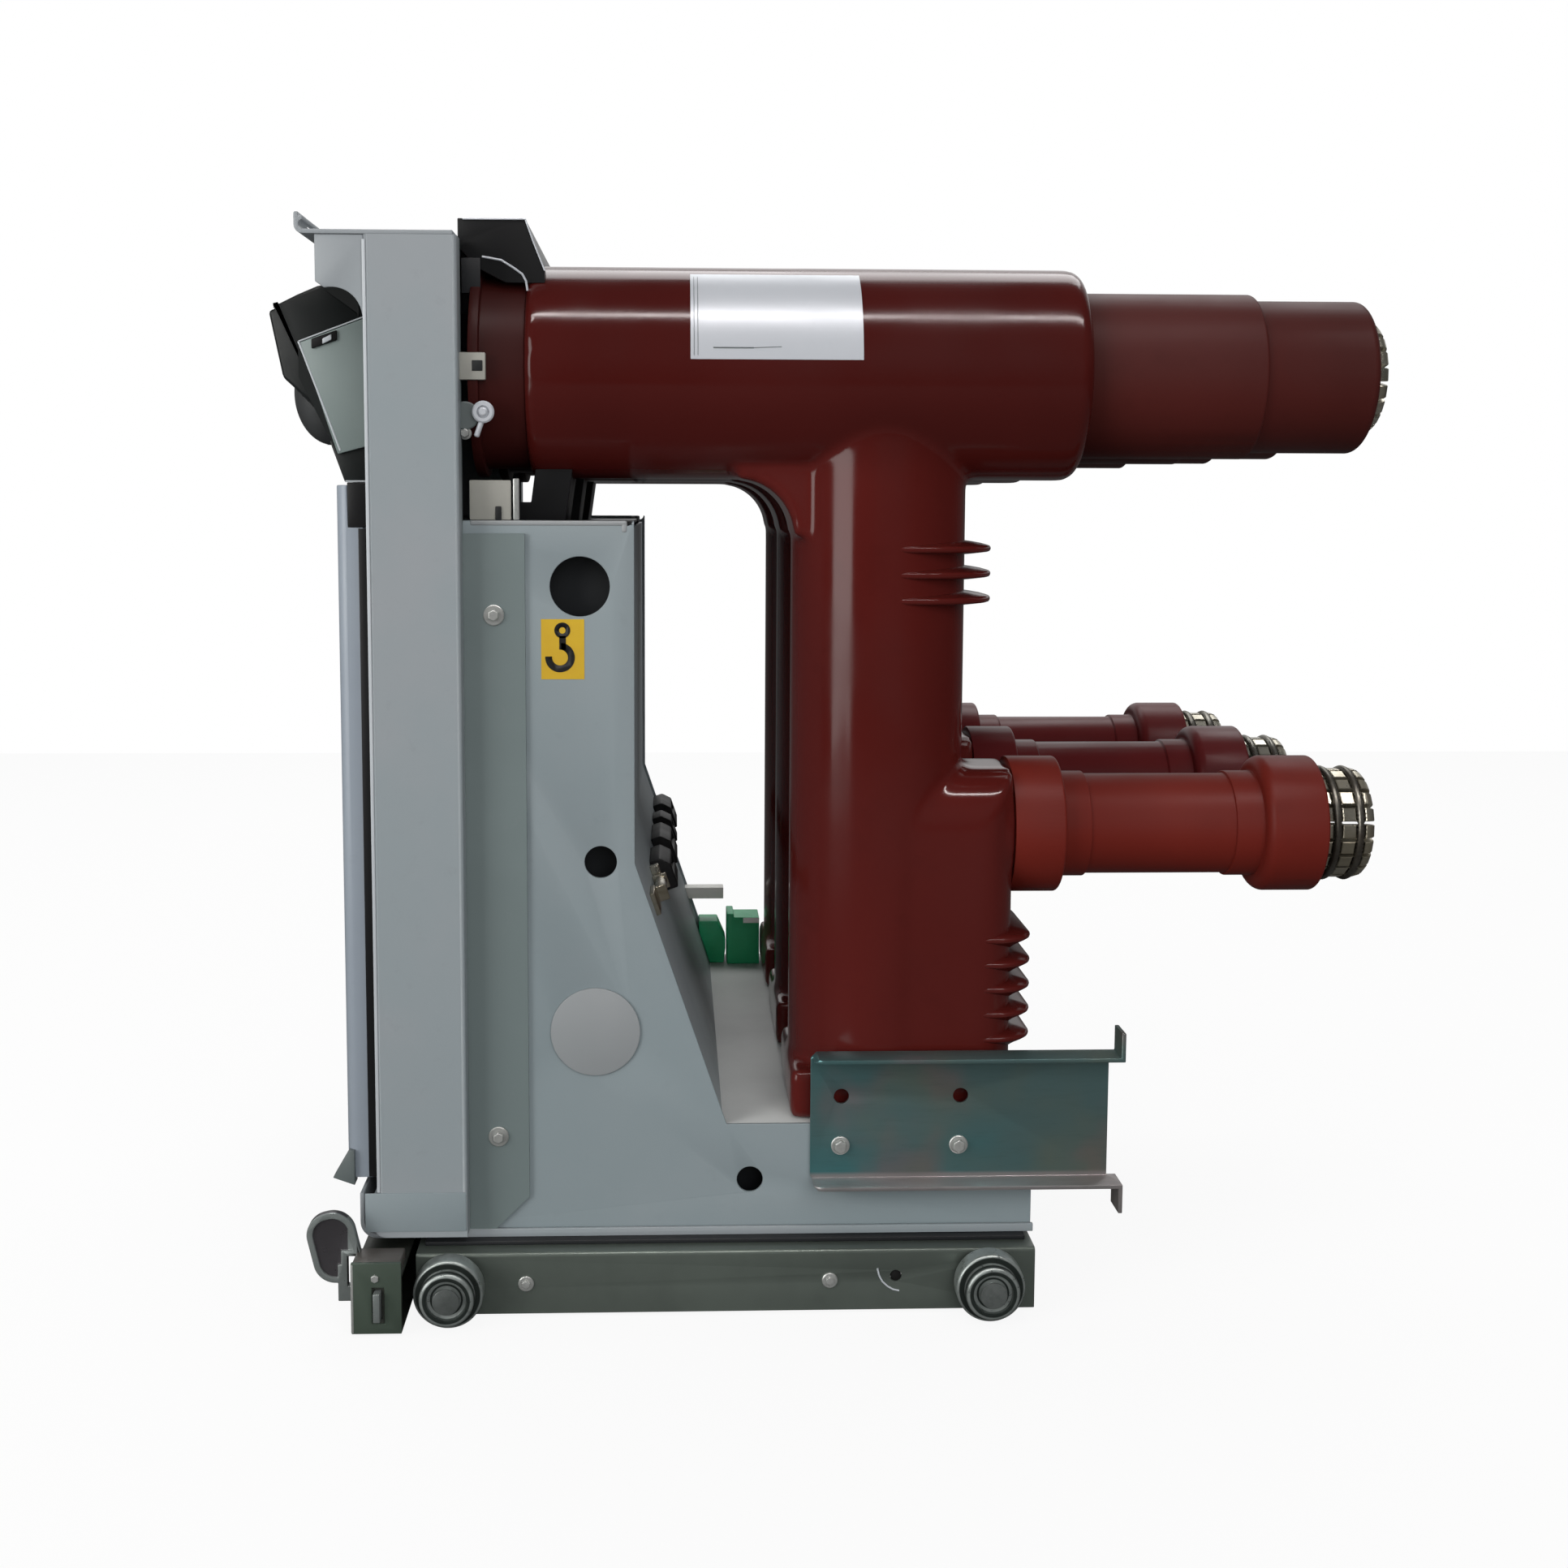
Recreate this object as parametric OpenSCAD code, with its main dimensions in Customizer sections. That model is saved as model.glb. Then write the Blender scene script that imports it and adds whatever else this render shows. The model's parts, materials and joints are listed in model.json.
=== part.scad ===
// Three-phase vacuum contactor with built-in fuse tubes, on a withdrawable truck.
// -X is the operator's front, the contact arms point to +X, +Z is up.
// The origin lies on the floor, at the middle of the length and the width.

/* [Phases and contacts] */
// distance between neighbouring phases
phase_pitch = 150; // [135:1:200]
// height of the lower contact axis above the floor
lower_axis = 280; // [240:1:330]
// distance between the lower and the upper contact axes
contact_spacing = 275; // [230:1:340]
// diameter of the fixed contact that a finger cluster grips
stab_diameter = 35; // [25:1:42]
// outside diameter of a finger cluster
cluster_diameter = 71; // [62:0.5:84]
// length of a finger cluster
cluster_length = 48; // [40:1:60]
// number of fingers in a cluster, even
finger_count = 20; // [12:2:30]
// gap between neighbouring fingers
finger_gap = 1; // [0.6:0.1:1.4]
// depth of the groove that holds the ring spring
spring_groove = 6; // [4:0.5:8]
// thickness of the contact sleeve that the fingers stand on
finger_root = 2; // [1:0.5:3]

/* [Poles] */
// distance from the front of the columns to the pole axis
pole_axis_x = 298; // [260:1:360]
// diameter of the pole casting
pole_diameter = 106; // [84:1:128]
// diameter of the fuse tube on top of a pole
tube_diameter = 126; // [96:1:140]
// front end of the fuse tube
tube_start = 88; // [80:1:120]
// rear end of the fuse tube
tube_end = 417; // [380:1:480]
// rounding of the tube's rear edge
tube_edge = 8; // [2:1:12]
// radius of the web between the tube and the pole's front
saddle_radius = 34; // [20:1:44]
// rear face of the lower terminal block
block_rear = 379; // [366:1:440]
// width of the lower terminal block
block_width = 100; // [92:1:104]
// radius of the block's upright rear corners
block_corner = 24; // [20:1:36]
// width of the web between the tube and the pole's front
web_width = 64; // [40:2:80]
// height of the pole's foot
foot_height = 30; // [20:1:40]
// number of sheds under the fuse tube
upper_sheds = 3; // [1:1:4]
// number of sheds on the lower terminal block
lower_sheds = 5; // [3:1:6]
// distance between neighbouring sheds
shed_pitch = 15.2; // [13:0.1:18]
// how far an upper shed stands out
shed_reach = 16; // [8:0.5:18]
// how far a lower shed stands out
block_reach = 12; // [8:0.5:14]
// height of the block's round top above the lower contact axis
block_top = 38; // [36:1:44]
// radius along the edges of the block's top
block_top_corner = 32; // [20:1:34]
// how far the root of an upper shed rises above its tip
disc_rise = 4.8; // [3:0.1:6]
// how far the root of an upper shed drops below its tip
disc_drop = 3.7; // [3:0.1:6]
// how far the root of a lower shed rises above its tip
block_rise = 4.6; // [3:0.1:5]
// how far the root of a lower shed drops below its tip
block_drop = 8.4; // [5:0.1:8.6]
// radius of a shed's tip
shed_tip = 2; // [1.5:0.1:2.6]

/* [Arms and sleeves] */
// diameter of the upper insulating sleeve
sleeve_diameter = 99; // [88:1:110]
// diameter of the sleeve's rear length
sleeve_tip_diameter = 91.5; // [82:0.5:96]
// where the sleeve steps down
sleeve_step = 522; // [460:1:560]
// rear end of the sleeve
sleeve_end = 590; // [570:1:640]
// rear end of the upper finger cluster
upper_tip = 595; // [580:1:660]
// diameter of the lower contact arm
arm_diameter = 62; // [50:1:74]
// diameter of the arm's two collars
collar_diameter = 84; // [78:1:94]
// length of the collar at the pole
root_collar = 31; // [20:1:40]
// rear end of the collar at the finger cluster
tip_collar_end = 570; // [540:1:620]
// length of the collar at the finger cluster
tip_collar = 37; // [26:1:44]
// rounding of that collar's inner edge
collar_edge = 7; // [2:0.5:8]
// length of the thicker ends of the lower arm
arm_end = 17; // [8:1:24]
// rear end of the lower finger cluster
lower_tip = 597; // [580:1:660]

/* [Mechanism housing] */
// thickness of the bent sheet
sheet = 2.5; // [1.5:0.5:3.5]
// gap between a pole and a side plate
side_margin = 0.5; // [0.5:0.5:6]
// height of the side plates at the housing
plate_top = 467.5; // [430:0.5:500]
// depth of the housing behind the columns' front
housing_depth = 150.5; // [130:0.5:180]
// height where the housing's back starts to slope
slope_top = 266.4; // [220:0.2:320]
// how far the rear cover lies inside the side plates' edge
cover_step = 2; // [1:0.5:4]
// where the slope meets the deck
deck_start = 205; // [190:1:230]
// height of the deck that carries the poles
deck_height = 108; // [90:1:126]
// rear end of the base
base_end = 389; // [380:1:440]
// inward flange along the top of a side plate
top_flange = 14; // [8:1:24]
// diameter of the lifting hole
lifting_hole = 34.8; // [24:0.2:44]

/* [Columns and front] */
// depth of a column
column_depth = 52; // [40:1:64]
// how far a column stands outside the side plate
column_stand = 17; // [12:1:24]
// lower end of a column
column_bottom = 72; // [60:1:90]
// height of a column above the upper contact axis
column_rise = 74; // [60:1:90]
// width of the flange bolted to the side plate
flange_width = 35.5; // [24:0.5:48]
// lower end of the bolted flange
flange_bottom = 46; // [44:1:60]
// upper end of the bolted flange
flange_top = 460; // [400:1:490]
// inward return of a column at the front
column_return = 30; // [20:1:50]
// depth of the front cover
cover_depth = 22.5; // [18:0.5:30]
// lower edge of the front cover
cover_bottom = 74; // [72:1:90]
// upper edge of the front cover
cover_top = 463; // [420:1:480]
// height of the block on top of the front cover
cap_height = 26; // [14:1:30]
// distance from the cover's side to the side plate's outer face
cover_inset = 9; // [4:1:20]
// gap between the front cover's side and the columns
shadow_gap = 6.5; // [1:0.5:8]
// how far the top lip stands in front of the columns
lip_reach = 38; // [28:1:50]
// height of the lip above the columns
lip_height = 9.5; // [6:0.5:16]
// height of the hood above the columns
hood_height = 11.5; // [6:0.5:14]
// where the hood's top ends
hood_end = 88; // [82:1:100]
// how far the hood runs past the outer phases' axes
hood_overhang = 40; // [20:1:50]

/* [Chassis] */
// height of the underside of the base tray
tray_bottom = 41; // [39:0.5:50]
// upturned lip of the base tray
tray_lip = 5; // [3:0.5:8]
// height of the tray's front wall above the floor
tray_front_top = 69; // [60:1:72]
// underside of the rails above the floor
rail_bottom = 1.5; // [1:0.5:8]
// height of the rails' top
rail_top = 38.5; // [34:0.5:38.5]
// front end of a rail
rail_start = 22; // [22:1:30]
// rear end of a rail
rail_end = 388; // [370:1:410]
// width of a rail
rail_width = 28; // [20:1:40]
// how far the rails stand outside the side plates
rail_stand = 21; // [18:1:26]
// diameter of a wheel
wheel_diameter = 40.6; // [36:0.2:44]
// width of a wheel
wheel_width = 21; // [18:0.5:24]
// width of the wheel's flange
flange_thickness = 13; // [5:0.5:14]
// diameter of the wheel's outer face
face_diameter = 32; // [24:1:34]
// position of the front wheels
front_wheel_x = 42.4; // [42.4:0.2:60]
// position of the rear wheels
rear_wheel_x = 359.2; // [330:0.2:380]
// diameter of the axle pins
axle_diameter = 10; // [8:0.5:12]
// radial clearance of a wheel on its pin
axle_clearance = 0.08; // [0.05:0.01:0.1]
// length of the crossbeam
crossbeam_length = 500; // [490:2:560]
// front of the crossbeam ahead of the columns
crossbeam_reach = 11.5; // [8:0.5:14]
// depth of the crossbeam
crossbeam_depth = 28.5; // [24:0.5:30]
// height of the crossbeam's top
crossbeam_top = 36; // [32:0.5:36]
// how far a locking tongue stands out of the crossbeam
tongue_reach = 6; // [4:1:12]
// inward travel of a locking tongue
tongue_travel = 15; // [8:1:15]
// distance from the crossbeam's end to the middle of a handle
handle_inset = 18; // [14:1:20]
// thickness of a handle
handle_depth = 6; // [4:0.5:7]
// gap between a handle and the pieces behind it
handle_gap = 5; // [4:0.5:7]
// how far the crossbeam runs out of the truck
travel = 200; // [120:5:240]

/* [Brackets and plug] */
// front end of the shutter bracket
bracket_start = 255; // [240:1:280]
// rear end of the shutter bracket's web
bracket_end = 434; // [410:1:460]
// lower edge of the shutter bracket
bracket_bottom = 73; // [60:1:80]
// upper edge of the shutter bracket
bracket_top = 152.5; // [130:0.5:164]
// width of the bracket's flanges
bracket_flange = 19; // [12:1:24]
// how far the flanges run past the web
bracket_tail = 6; // [5:1:14]
// height of the tabs at the end of the flanges
bracket_tab = 15; // [8:1:20]
// distance from the middle to the control plug
plug_y = 152; // [120:1:170]
// how far the control plug stands in front of the columns
plug_reach = 66; // [50:1:80]

/* [Hidden] */
$fn = 64;
e = 0.01;
upper_axis = lower_axis + contact_spacing;
pole_r = pole_diameter / 2;
tube_r = tube_diameter / 2;
plate_y = phase_pitch + pole_r + side_margin + sheet;
column_y = plate_y + column_stand;
column_top = upper_axis + column_rise;
rail_y = plate_y + rail_stand;
wheel_r = wheel_diameter / 2;
wheel_y0 = rail_y + 3;
cluster_r = cluster_diameter / 2;
stab_r = stab_diameter / 2;
cluster_seat = 4;
beam_half = crossbeam_length / 2;
centre_x = (lower_tip - plug_reach) / 2;
tray_half = plate_y + sheet + 0.5;
tray_front = 13;
cap_depth = 15.5;
slope_angle = atan((deck_start - housing_depth) / (slope_top - deck_height));
handle_y = beam_half - handle_inset;
rod_y = 110;
rod_r = 6;
screw_r = 8.05;
rod_z = 20;
seat = 0.02;

red = [0.42, 0.08, 0.08];
grey_paint = [0.60, 0.63, 0.66];
zinc = [0.66, 0.68, 0.66];
steel = [0.72, 0.72, 0.72];
black = [0.09, 0.09, 0.10];
dark_steel = [0.30, 0.33, 0.32];
silvered = [0.80, 0.78, 0.74];
green = [0.10, 0.38, 0.24];

// --- helpers ---
module placed() translate([-centre_x, 0, 0]) children();
module side(hand) scale([1, hand, 1]) children();
module phase(number) translate([0, number * phase_pitch, 0]) children();
// extrudes an X-Z outline from y0 to y1
module xz(y0, y1) translate([0, y1, 0]) rotate([90, 0, 0]) linear_extrude(y1 - y0) children();
// extrudes a Y-Z outline from x0 to x1
module yz(x0, x1) translate([x0, 0, 0]) rotate([90, 0, 90]) linear_extrude(x1 - x0) children();
// turns an outline of [radius, x] about an axis along X
module turned(y, z) translate([0, y, z]) rotate([0, 90, 0]) rotate_extrude() children();
// what a rounded corner of radius r leaves over; the material lies towards +x and +y
module nick(r) difference() {
  translate([-1, -1]) square(r + 1);
  translate([r, r]) circle(r);
}
module rounded_rect(w, h, r) difference() {
  square([w, h]);
  nick(r);
  translate([w, 0]) mirror([1, 0]) nick(r);
  translate([0, h]) mirror([0, 1]) nick(r);
  translate([w, h]) rotate(180) nick(r);
}

// --- mechanism housing ---
module side_plate_shape() {
  difference() {
    xz(plate_y - sheet, plate_y) difference() {
      polygon([[sheet, tray_bottom + sheet], [sheet, plate_top], [housing_depth, plate_top],
        [housing_depth, slope_top], [deck_start, deck_height], [base_end, deck_height],
        [base_end, tray_bottom + sheet]]);
      translate([119, plate_top - 38.1]) circle(d = lifting_hole);
      translate([130.5, slope_top + 1]) circle(9.5);
      translate([219, 74]) circle(7.8);
      translate([127, 165.5]) circle(22);
      translate([housing_depth - 4, plate_top]) circle(3);
    }
    translate([0, plate_y, plate_top]) yz(-1, base_end + 1) rotate(180) nick(sheet);
  }
  translate([column_depth + 2, plate_y - top_flange, plate_top - sheet])
    cube([housing_depth - column_depth - 12, top_flange - sheet + e, sheet]);
}
module base_tray_shape() difference() {
  union() {
    translate([-tray_front, -tray_half, tray_bottom]) cube([base_end + tray_front + 1, 2 * tray_half, sheet]);
    for (s = [0, 1]) mirror([0, s, 0]) translate([-3, tray_half - sheet, tray_bottom])
      cube([base_end + 4, sheet, tray_lip]);
    translate([-tray_front, -tray_half, tray_bottom])
      cube([sheet, 2 * tray_half, tray_front_top - tray_bottom]);
    xz(-tray_half, tray_half) translate([-tray_front + sheet, tray_bottom + sheet]) nick(8);
  }
  xz(-tray_half - 1, tray_half + 1) translate([-tray_front, tray_bottom]) nick(10);
}
module deck_shape() {
  half = plate_y - sheet;
  translate([deck_start - 8, -half, deck_height - sheet]) cube([base_end - deck_start + 8, 2 * half, sheet]);
  translate([base_end - sheet, -half, tray_bottom + sheet])
    cube([sheet, 2 * half, deck_height - tray_bottom - sheet]);
}
module rear_cover_shape() xz(-plate_y + sheet, plate_y - sheet) {
  x1 = housing_depth - cover_step;
  x2 = deck_start - cover_step;
  polygon([[x1 - 2, plate_top - 2 * sheet], [x1, plate_top - 2 * sheet], [x1, slope_top],
    [x2, deck_height], [x2 - 2.2, deck_height], [x1 - 2, slope_top - 1]]);
}
module top_cover_shape() translate([2 * sheet, -plate_y + sheet, plate_top - 2 * sheet])
  cube([housing_depth - 6 - 2 * sheet, 2 * (plate_y - sheet), sheet]);
module hole_plugs_shape() for (s = [0, 1]) mirror([0, s, 0]) translate([127, plate_y, 165.5])
  rotate([-90, 0, 0]) {
    cylinder(r = 26.5, h = 1.5);
    translate([0, 0, -4]) cylinder(r = 21.8, h = 4);
  }

// --- columns and front ---
module column_shape() {
  inner = plate_y + sheet;
  translate([0, 0, column_bottom]) linear_extrude(column_top - sheet - column_bottom) difference() {
    union() {
      translate([0, column_y - column_return]) square([sheet, column_return]);
      translate([0, column_y - sheet]) square([column_depth, sheet]);
      translate([column_depth - sheet, plate_y]) square([sheet, column_stand]);
    }
    translate([0, column_y]) mirror([0, 1]) nick(sheet);
    translate([column_depth, column_y]) rotate(180) nick(sheet);
  }
  difference() {
    translate([column_depth - sheet, plate_y, flange_bottom])
      cube([flange_width + sheet, sheet, flange_top - flange_bottom]);
    translate([column_depth + flange_width, plate_y - 1, flange_bottom])
      rotate([0, 45, 0]) cube([28, 2 * sheet + 2, 28], center = true);
  }
  // foot block under the column
  difference() {
    translate([-3, plate_y, tray_bottom + tray_lip + 1])
      cube([column_depth + 3, column_stand, column_bottom - tray_bottom - tray_lip - 1]);
    translate([0, 0, tray_bottom + tray_lip + 1]) xz(plate_y - 1, column_y + 1) translate([-3, 0]) nick(8);
    translate([-3 + sheet, plate_y - 1, tray_bottom + tray_lip]) cube([column_depth - 2 * sheet + 3,
      column_stand - sheet + 1, column_bottom - tray_bottom - tray_lip + e]);
  }
}
module front_cover_shape() {
  half = plate_y - cover_inset;
  height = cover_top - cover_bottom;
  difference() {
    translate([-cover_depth, -half, cover_bottom]) linear_extrude(height) difference() {
      square([cover_depth, 2 * half]);
      nick(7);
      translate([0, 2 * half]) mirror([0, 1]) nick(7);
    }
    translate([-cover_depth + sheet, -half + sheet, cover_bottom + sheet])
      cube([cover_depth, 2 * (half - sheet), height - 2 * sheet]);
    for (s = [0, 1]) mirror([0, s, 0]) translate([-shadow_gap, half - sheet / 2, cover_bottom - 1])
      cube([shadow_gap + 1, sheet, height + 2]);
  }
  // crest in front of the cap
  translate([-cover_depth, -half, cover_top - e]) linear_extrude(cap_height - 1.5 + e) difference() {
    square([cover_depth - cap_depth, 2 * half]);
    nick(7);
    translate([0, 2 * half]) mirror([0, 1]) nick(7);
  }
}
module front_cap_shape() {
  half = plate_y - cover_inset;
  difference() {
    translate([-cap_depth, -half, cover_top]) cube([cap_depth, 2 * half, cap_height]);
    translate([-cap_depth + sheet, -half + sheet, cover_top - 1])
      cube([cap_depth, 2 * (half - sheet), cap_height - sheet + 1]);
  }
}
module front_panel_shape() {
  half = column_y - column_return + 10;
  translate([sheet, -half, cover_top - 60]) cube([sheet, 2 * half, column_top - cover_top + 60 - sheet]);
}
module top_lip_shape() {
  half = column_y;
  z = column_top;
  difference() {
    union() {
      translate([-lip_reach + 5, -half, z - sheet]) cube([lip_reach - 5 + column_depth - 2, 2 * half, sheet]);
      translate([-lip_reach + 5, 0, z - sheet + 5]) xz(-half, half) difference() {
        circle(5);
        circle(5 - sheet);
        translate([0, -10]) square(20);
      }
      translate([-lip_reach, -half, z - sheet + 5]) cube([sheet, 2 * half, lip_height + sheet - 5]);
    }
    xz(-half - 1, half + 1) translate([-lip_reach, z + lip_height]) mirror([0, 1]) nick(1.2);
  }
}
// folded gussets that carry the lip in front of the columns
module lip_cheeks_shape() {
  top = column_top - sheet;
  for (s = [0, 1]) mirror([0, s, 0]) xz(column_y - 1.5 - sheet, column_y - 1.5) difference() {
    polygon([[-27, top], [-27, top - 26], [-22, top - 29.5], [-1.5, top - 44.5], [0, top - 44.5], [0, top]]);
    translate([-18, top - 46]) circle(17);
  }
}
module hood_shape() {
  half = phase_pitch + hood_overhang;
  z = column_top;
  front = column_depth - 3;
  drop = z - 31;
  difference() {
    xz(-half, half) polygon([[front, drop + 26], [front, z + hood_height], [hood_end, z + hood_height],
      [hood_end + 11, z - 18], [hood_end + 11, drop], [hood_end, drop], [front + 12, drop + 14]]);
    xz(-half + 2, half - 2) polygon([[front + 2, z - 40], [front + 2, z + hood_height - 2],
      [hood_end - 1.4, z + hood_height - 2], [hood_end + 9, z - 18.5], [hood_end + 9, z - 40]]);
    translate([0, -column_y, z - sheet]) cube([column_depth - 2, 2 * column_y, sheet]);
    for (i = [-1, 0, 1]) turned(i * phase_pitch, upper_axis) square([tube_r + 0.3, hood_end + 20]);
  }
}
module tube_supports_shape() for (i = [-1, 0, 1]) difference() {
  bottom = plate_top - sheet;
  top = upper_axis - tube_r;
  translate([0, i * phase_pitch, 0]) xz(-26, 26)
    polygon([[tube_start - 10, bottom], [tube_start + 21, bottom], [tube_start + 26, top + 8],
      [tube_start + 4, top + 8], [tube_start + 1, bottom + 13], [tube_start - 10, bottom + 13]]);
  turned(i * phase_pitch, upper_axis) square([tube_r + seat, tube_start + 40]);
}

// --- poles ---
// upper edge of a shed that ends at x = tip; rise is its height at the root
function shed_top(tip, reach, rise, steps) = [for (i = [steps : -1 : 0])
  [tip - reach + (reach - shed_tip) * i / steps,
    shed_tip + (rise - shed_tip) * (1 - pow(i / steps, 2.2))]];
module shed_profile(root, reach, rise, drop) {
  polygon(concat([[root + reach - shed_tip, -shed_tip]], shed_top(root + reach, reach, rise, 5),
    [[0, rise], [0, -drop], [root, -drop], [root + reach * 0.45, -shed_tip - (drop - shed_tip) * 0.42]]));
  translate([root + reach - shed_tip, 0]) circle(shed_tip, $fn = 24);
}
module disc_shed(z) translate([pole_axis_x + shed_reach, 0, z]) rotate_extrude()
  shed_profile(pole_r - shed_reach, shed_reach, disc_rise, disc_drop);
// outline of the lower sheds, one above the other; they run out into the block's sides
module shed_stack() {
  root = block_corner - block_reach;
  for (i = [0 : lower_sheds - 1]) translate([0, deck_height + 48 + shed_pitch * i])
    shed_profile(root, block_reach, block_rise, block_drop);
  translate([0, deck_height + 40]) square([root / 2, shed_pitch * lower_sheds]);
}
module block_sheds() {
  x1 = block_rear + block_reach - block_corner;
  y1 = block_width / 2 - block_corner - 0.6;
  for (s = [0, 1]) mirror([0, s, 0]) {
    translate([x1, y1, 0]) rotate_extrude(angle = 90) shed_stack();
    translate([pole_axis_x, y1, 0]) rotate([90, 0, 90]) linear_extrude(x1 - pole_axis_x) shed_stack();
  }
  translate([x1, y1, 0]) rotate([90, 0, 0]) linear_extrude(2 * y1) shed_stack();
}
module block_section() difference() {
  translate([-block_width / 2, deck_height - 1]) square([block_width, lower_axis + block_top - deck_height + 1]);
  for (s = [0, 1]) mirror([s, 0]) translate([block_width / 2, lower_axis + block_top])
    rotate(180) nick(block_top_corner);
}
module pole_shape() {
  tube_bottom = upper_axis - tube_r;
  block_r = block_width / 2;
  // fuse tube
  turned(0, upper_axis) difference() {
    translate([0, tube_start]) square([tube_r, tube_end - tube_start]);
    translate([tube_r, tube_end]) rotate(180) nick(tube_edge);
    translate([tube_r, tube_start]) mirror([1, 0]) nick(3);
  }
  // column, widened towards the tube, and web in front of it
  translate([pole_axis_x, 0, deck_height]) cylinder(r = pole_r, h = upper_axis - deck_height);
  xz(-web_width / 2, web_width / 2) difference() {
    translate([pole_axis_x - pole_r - saddle_radius, tube_bottom - saddle_radius])
      square([saddle_radius + pole_r / 2, saddle_radius + tube_r / 2]);
    translate([pole_axis_x - pole_r - saddle_radius, tube_bottom - saddle_radius]) circle(saddle_radius);
  }
  // lower terminal block, rounded along its top and its rear corners
  intersection() {
    translate([pole_axis_x, -block_r, deck_height]) linear_extrude(lower_axis + block_top - deck_height)
      difference() {
        square([block_rear - pole_axis_x, block_width]);
        translate([block_rear - pole_axis_x, 0]) mirror([1, 0]) nick(block_corner);
        translate([block_rear - pole_axis_x, block_width]) rotate(180) nick(block_corner);
      }
    yz(pole_axis_x - 1, block_rear + 1) block_section();
  }
  // seat of the contact arm, between the block's corners
  intersection() {
    turned(0, lower_axis) translate([0, pole_axis_x]) square([collar_diameter / 2, block_rear - pole_axis_x]);
    yz(pole_axis_x - 1, block_rear + 1) block_section();
  }
  // foot
  translate([pole_axis_x - pole_r - 1.5, -block_r, deck_height]) cube([pole_r + 10, block_width, foot_height]);
  // sheds
  for (i = [0 : upper_sheds - 1]) disc_shed(tube_bottom - saddle_radius - shed_pitch * (i + 0.46));
  block_sheds();
}
module fuse_cap_shape() turned(0, upper_axis) {
  translate([0, column_depth + 4]) square([tube_r - 6, tube_start - column_depth - 4]);
  translate([0, column_depth + 4]) square([tube_r - 1, 6]);
}
module upper_sleeve_shape() turned(0, upper_axis) {
  bore = cluster_r + 2.5;
  difference() {
    union() {
      translate([0, tube_end]) square([sleeve_diameter / 2, sleeve_step - tube_end]);
      translate([0, tube_end]) square([sleeve_tip_diameter / 2, sleeve_end - tube_end]);
    }
    translate([0, upper_tip - cluster_length - cluster_seat]) square([bore, cluster_length + 10]);
    translate([sleeve_tip_diameter / 2, sleeve_end]) rotate(180) nick(5);
    translate([sleeve_diameter / 2, sleeve_step]) rotate(180) nick(2.5);
  }
}
module contact_arm_shape() turned(0, lower_axis) difference() {
  arm_start = block_rear + root_collar;
  arm_stop = tip_collar_end - tip_collar;
  union() {
    translate([0, block_rear]) square([collar_diameter / 2, root_collar]);
    translate([0, block_rear]) square([arm_diameter / 2, tip_collar_end - block_rear]);
    for (x = [arm_start - 1, arm_stop - arm_end]) translate([0, x]) square([arm_diameter / 2 + 1.6, arm_end + 1]);
    translate([0, arm_stop]) square([collar_diameter / 2, tip_collar]);
  }
  translate([0, lower_tip - cluster_length - cluster_seat]) square([cluster_r + 2.5, cluster_length + 10]);
  translate([collar_diameter / 2, arm_start]) rotate(180) nick(2);
  translate([collar_diameter / 2, tip_collar_end]) rotate(180) nick(2);
  translate([collar_diameter / 2, arm_stop]) mirror([1, 0]) nick(collar_edge);
}
// ring of sprung fingers that grips a round fixed contact, tip at x = 0
module cluster() {
  nose = 10;
  back = -cluster_length;
  shoulder = cluster_r - 2.5;
  difference() {
    turned(0, 0) difference() {
      union() {
        polygon([[stab_r + 3, 0], [stab_r, -4], [stab_r, -nose - 6], [stab_r + 4, -nose - 11],
          [stab_r + 4, back + 12], [stab_r + 1, back + 8], [stab_r + 1, back], [shoulder, back],
          [shoulder, -nose - spring_groove], [cluster_r - spring_groove, -nose - spring_groove],
          [cluster_r - spring_groove, -nose], [cluster_r, -nose], [cluster_r, -5], [cluster_r - 5, 0]]);
        translate([cluster_r - 5, -5]) circle(5);
      }
      translate([shoulder, back]) mirror([1, 0]) nick(2);
    }
    for (i = [0 : finger_count - 1]) rotate([i * 360 / finger_count, 0, 0])
      translate([back + 5, stab_r + finger_root, -finger_gap / 2]) cube([cluster_length, cluster_r, finger_gap]);
  }
  // conductor behind the fingers
  translate([back - cluster_seat, 0, 0]) rotate([0, 90, 0]) cylinder(r = stab_r + 1, h = cluster_seat + 8);
  // ring spring
  ring = spring_groove / 2 - 0.2;
  turned(0, 0) translate([cluster_r - spring_groove + ring + 0.3, -nose - spring_groove / 2]) circle(ring);
}

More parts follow.
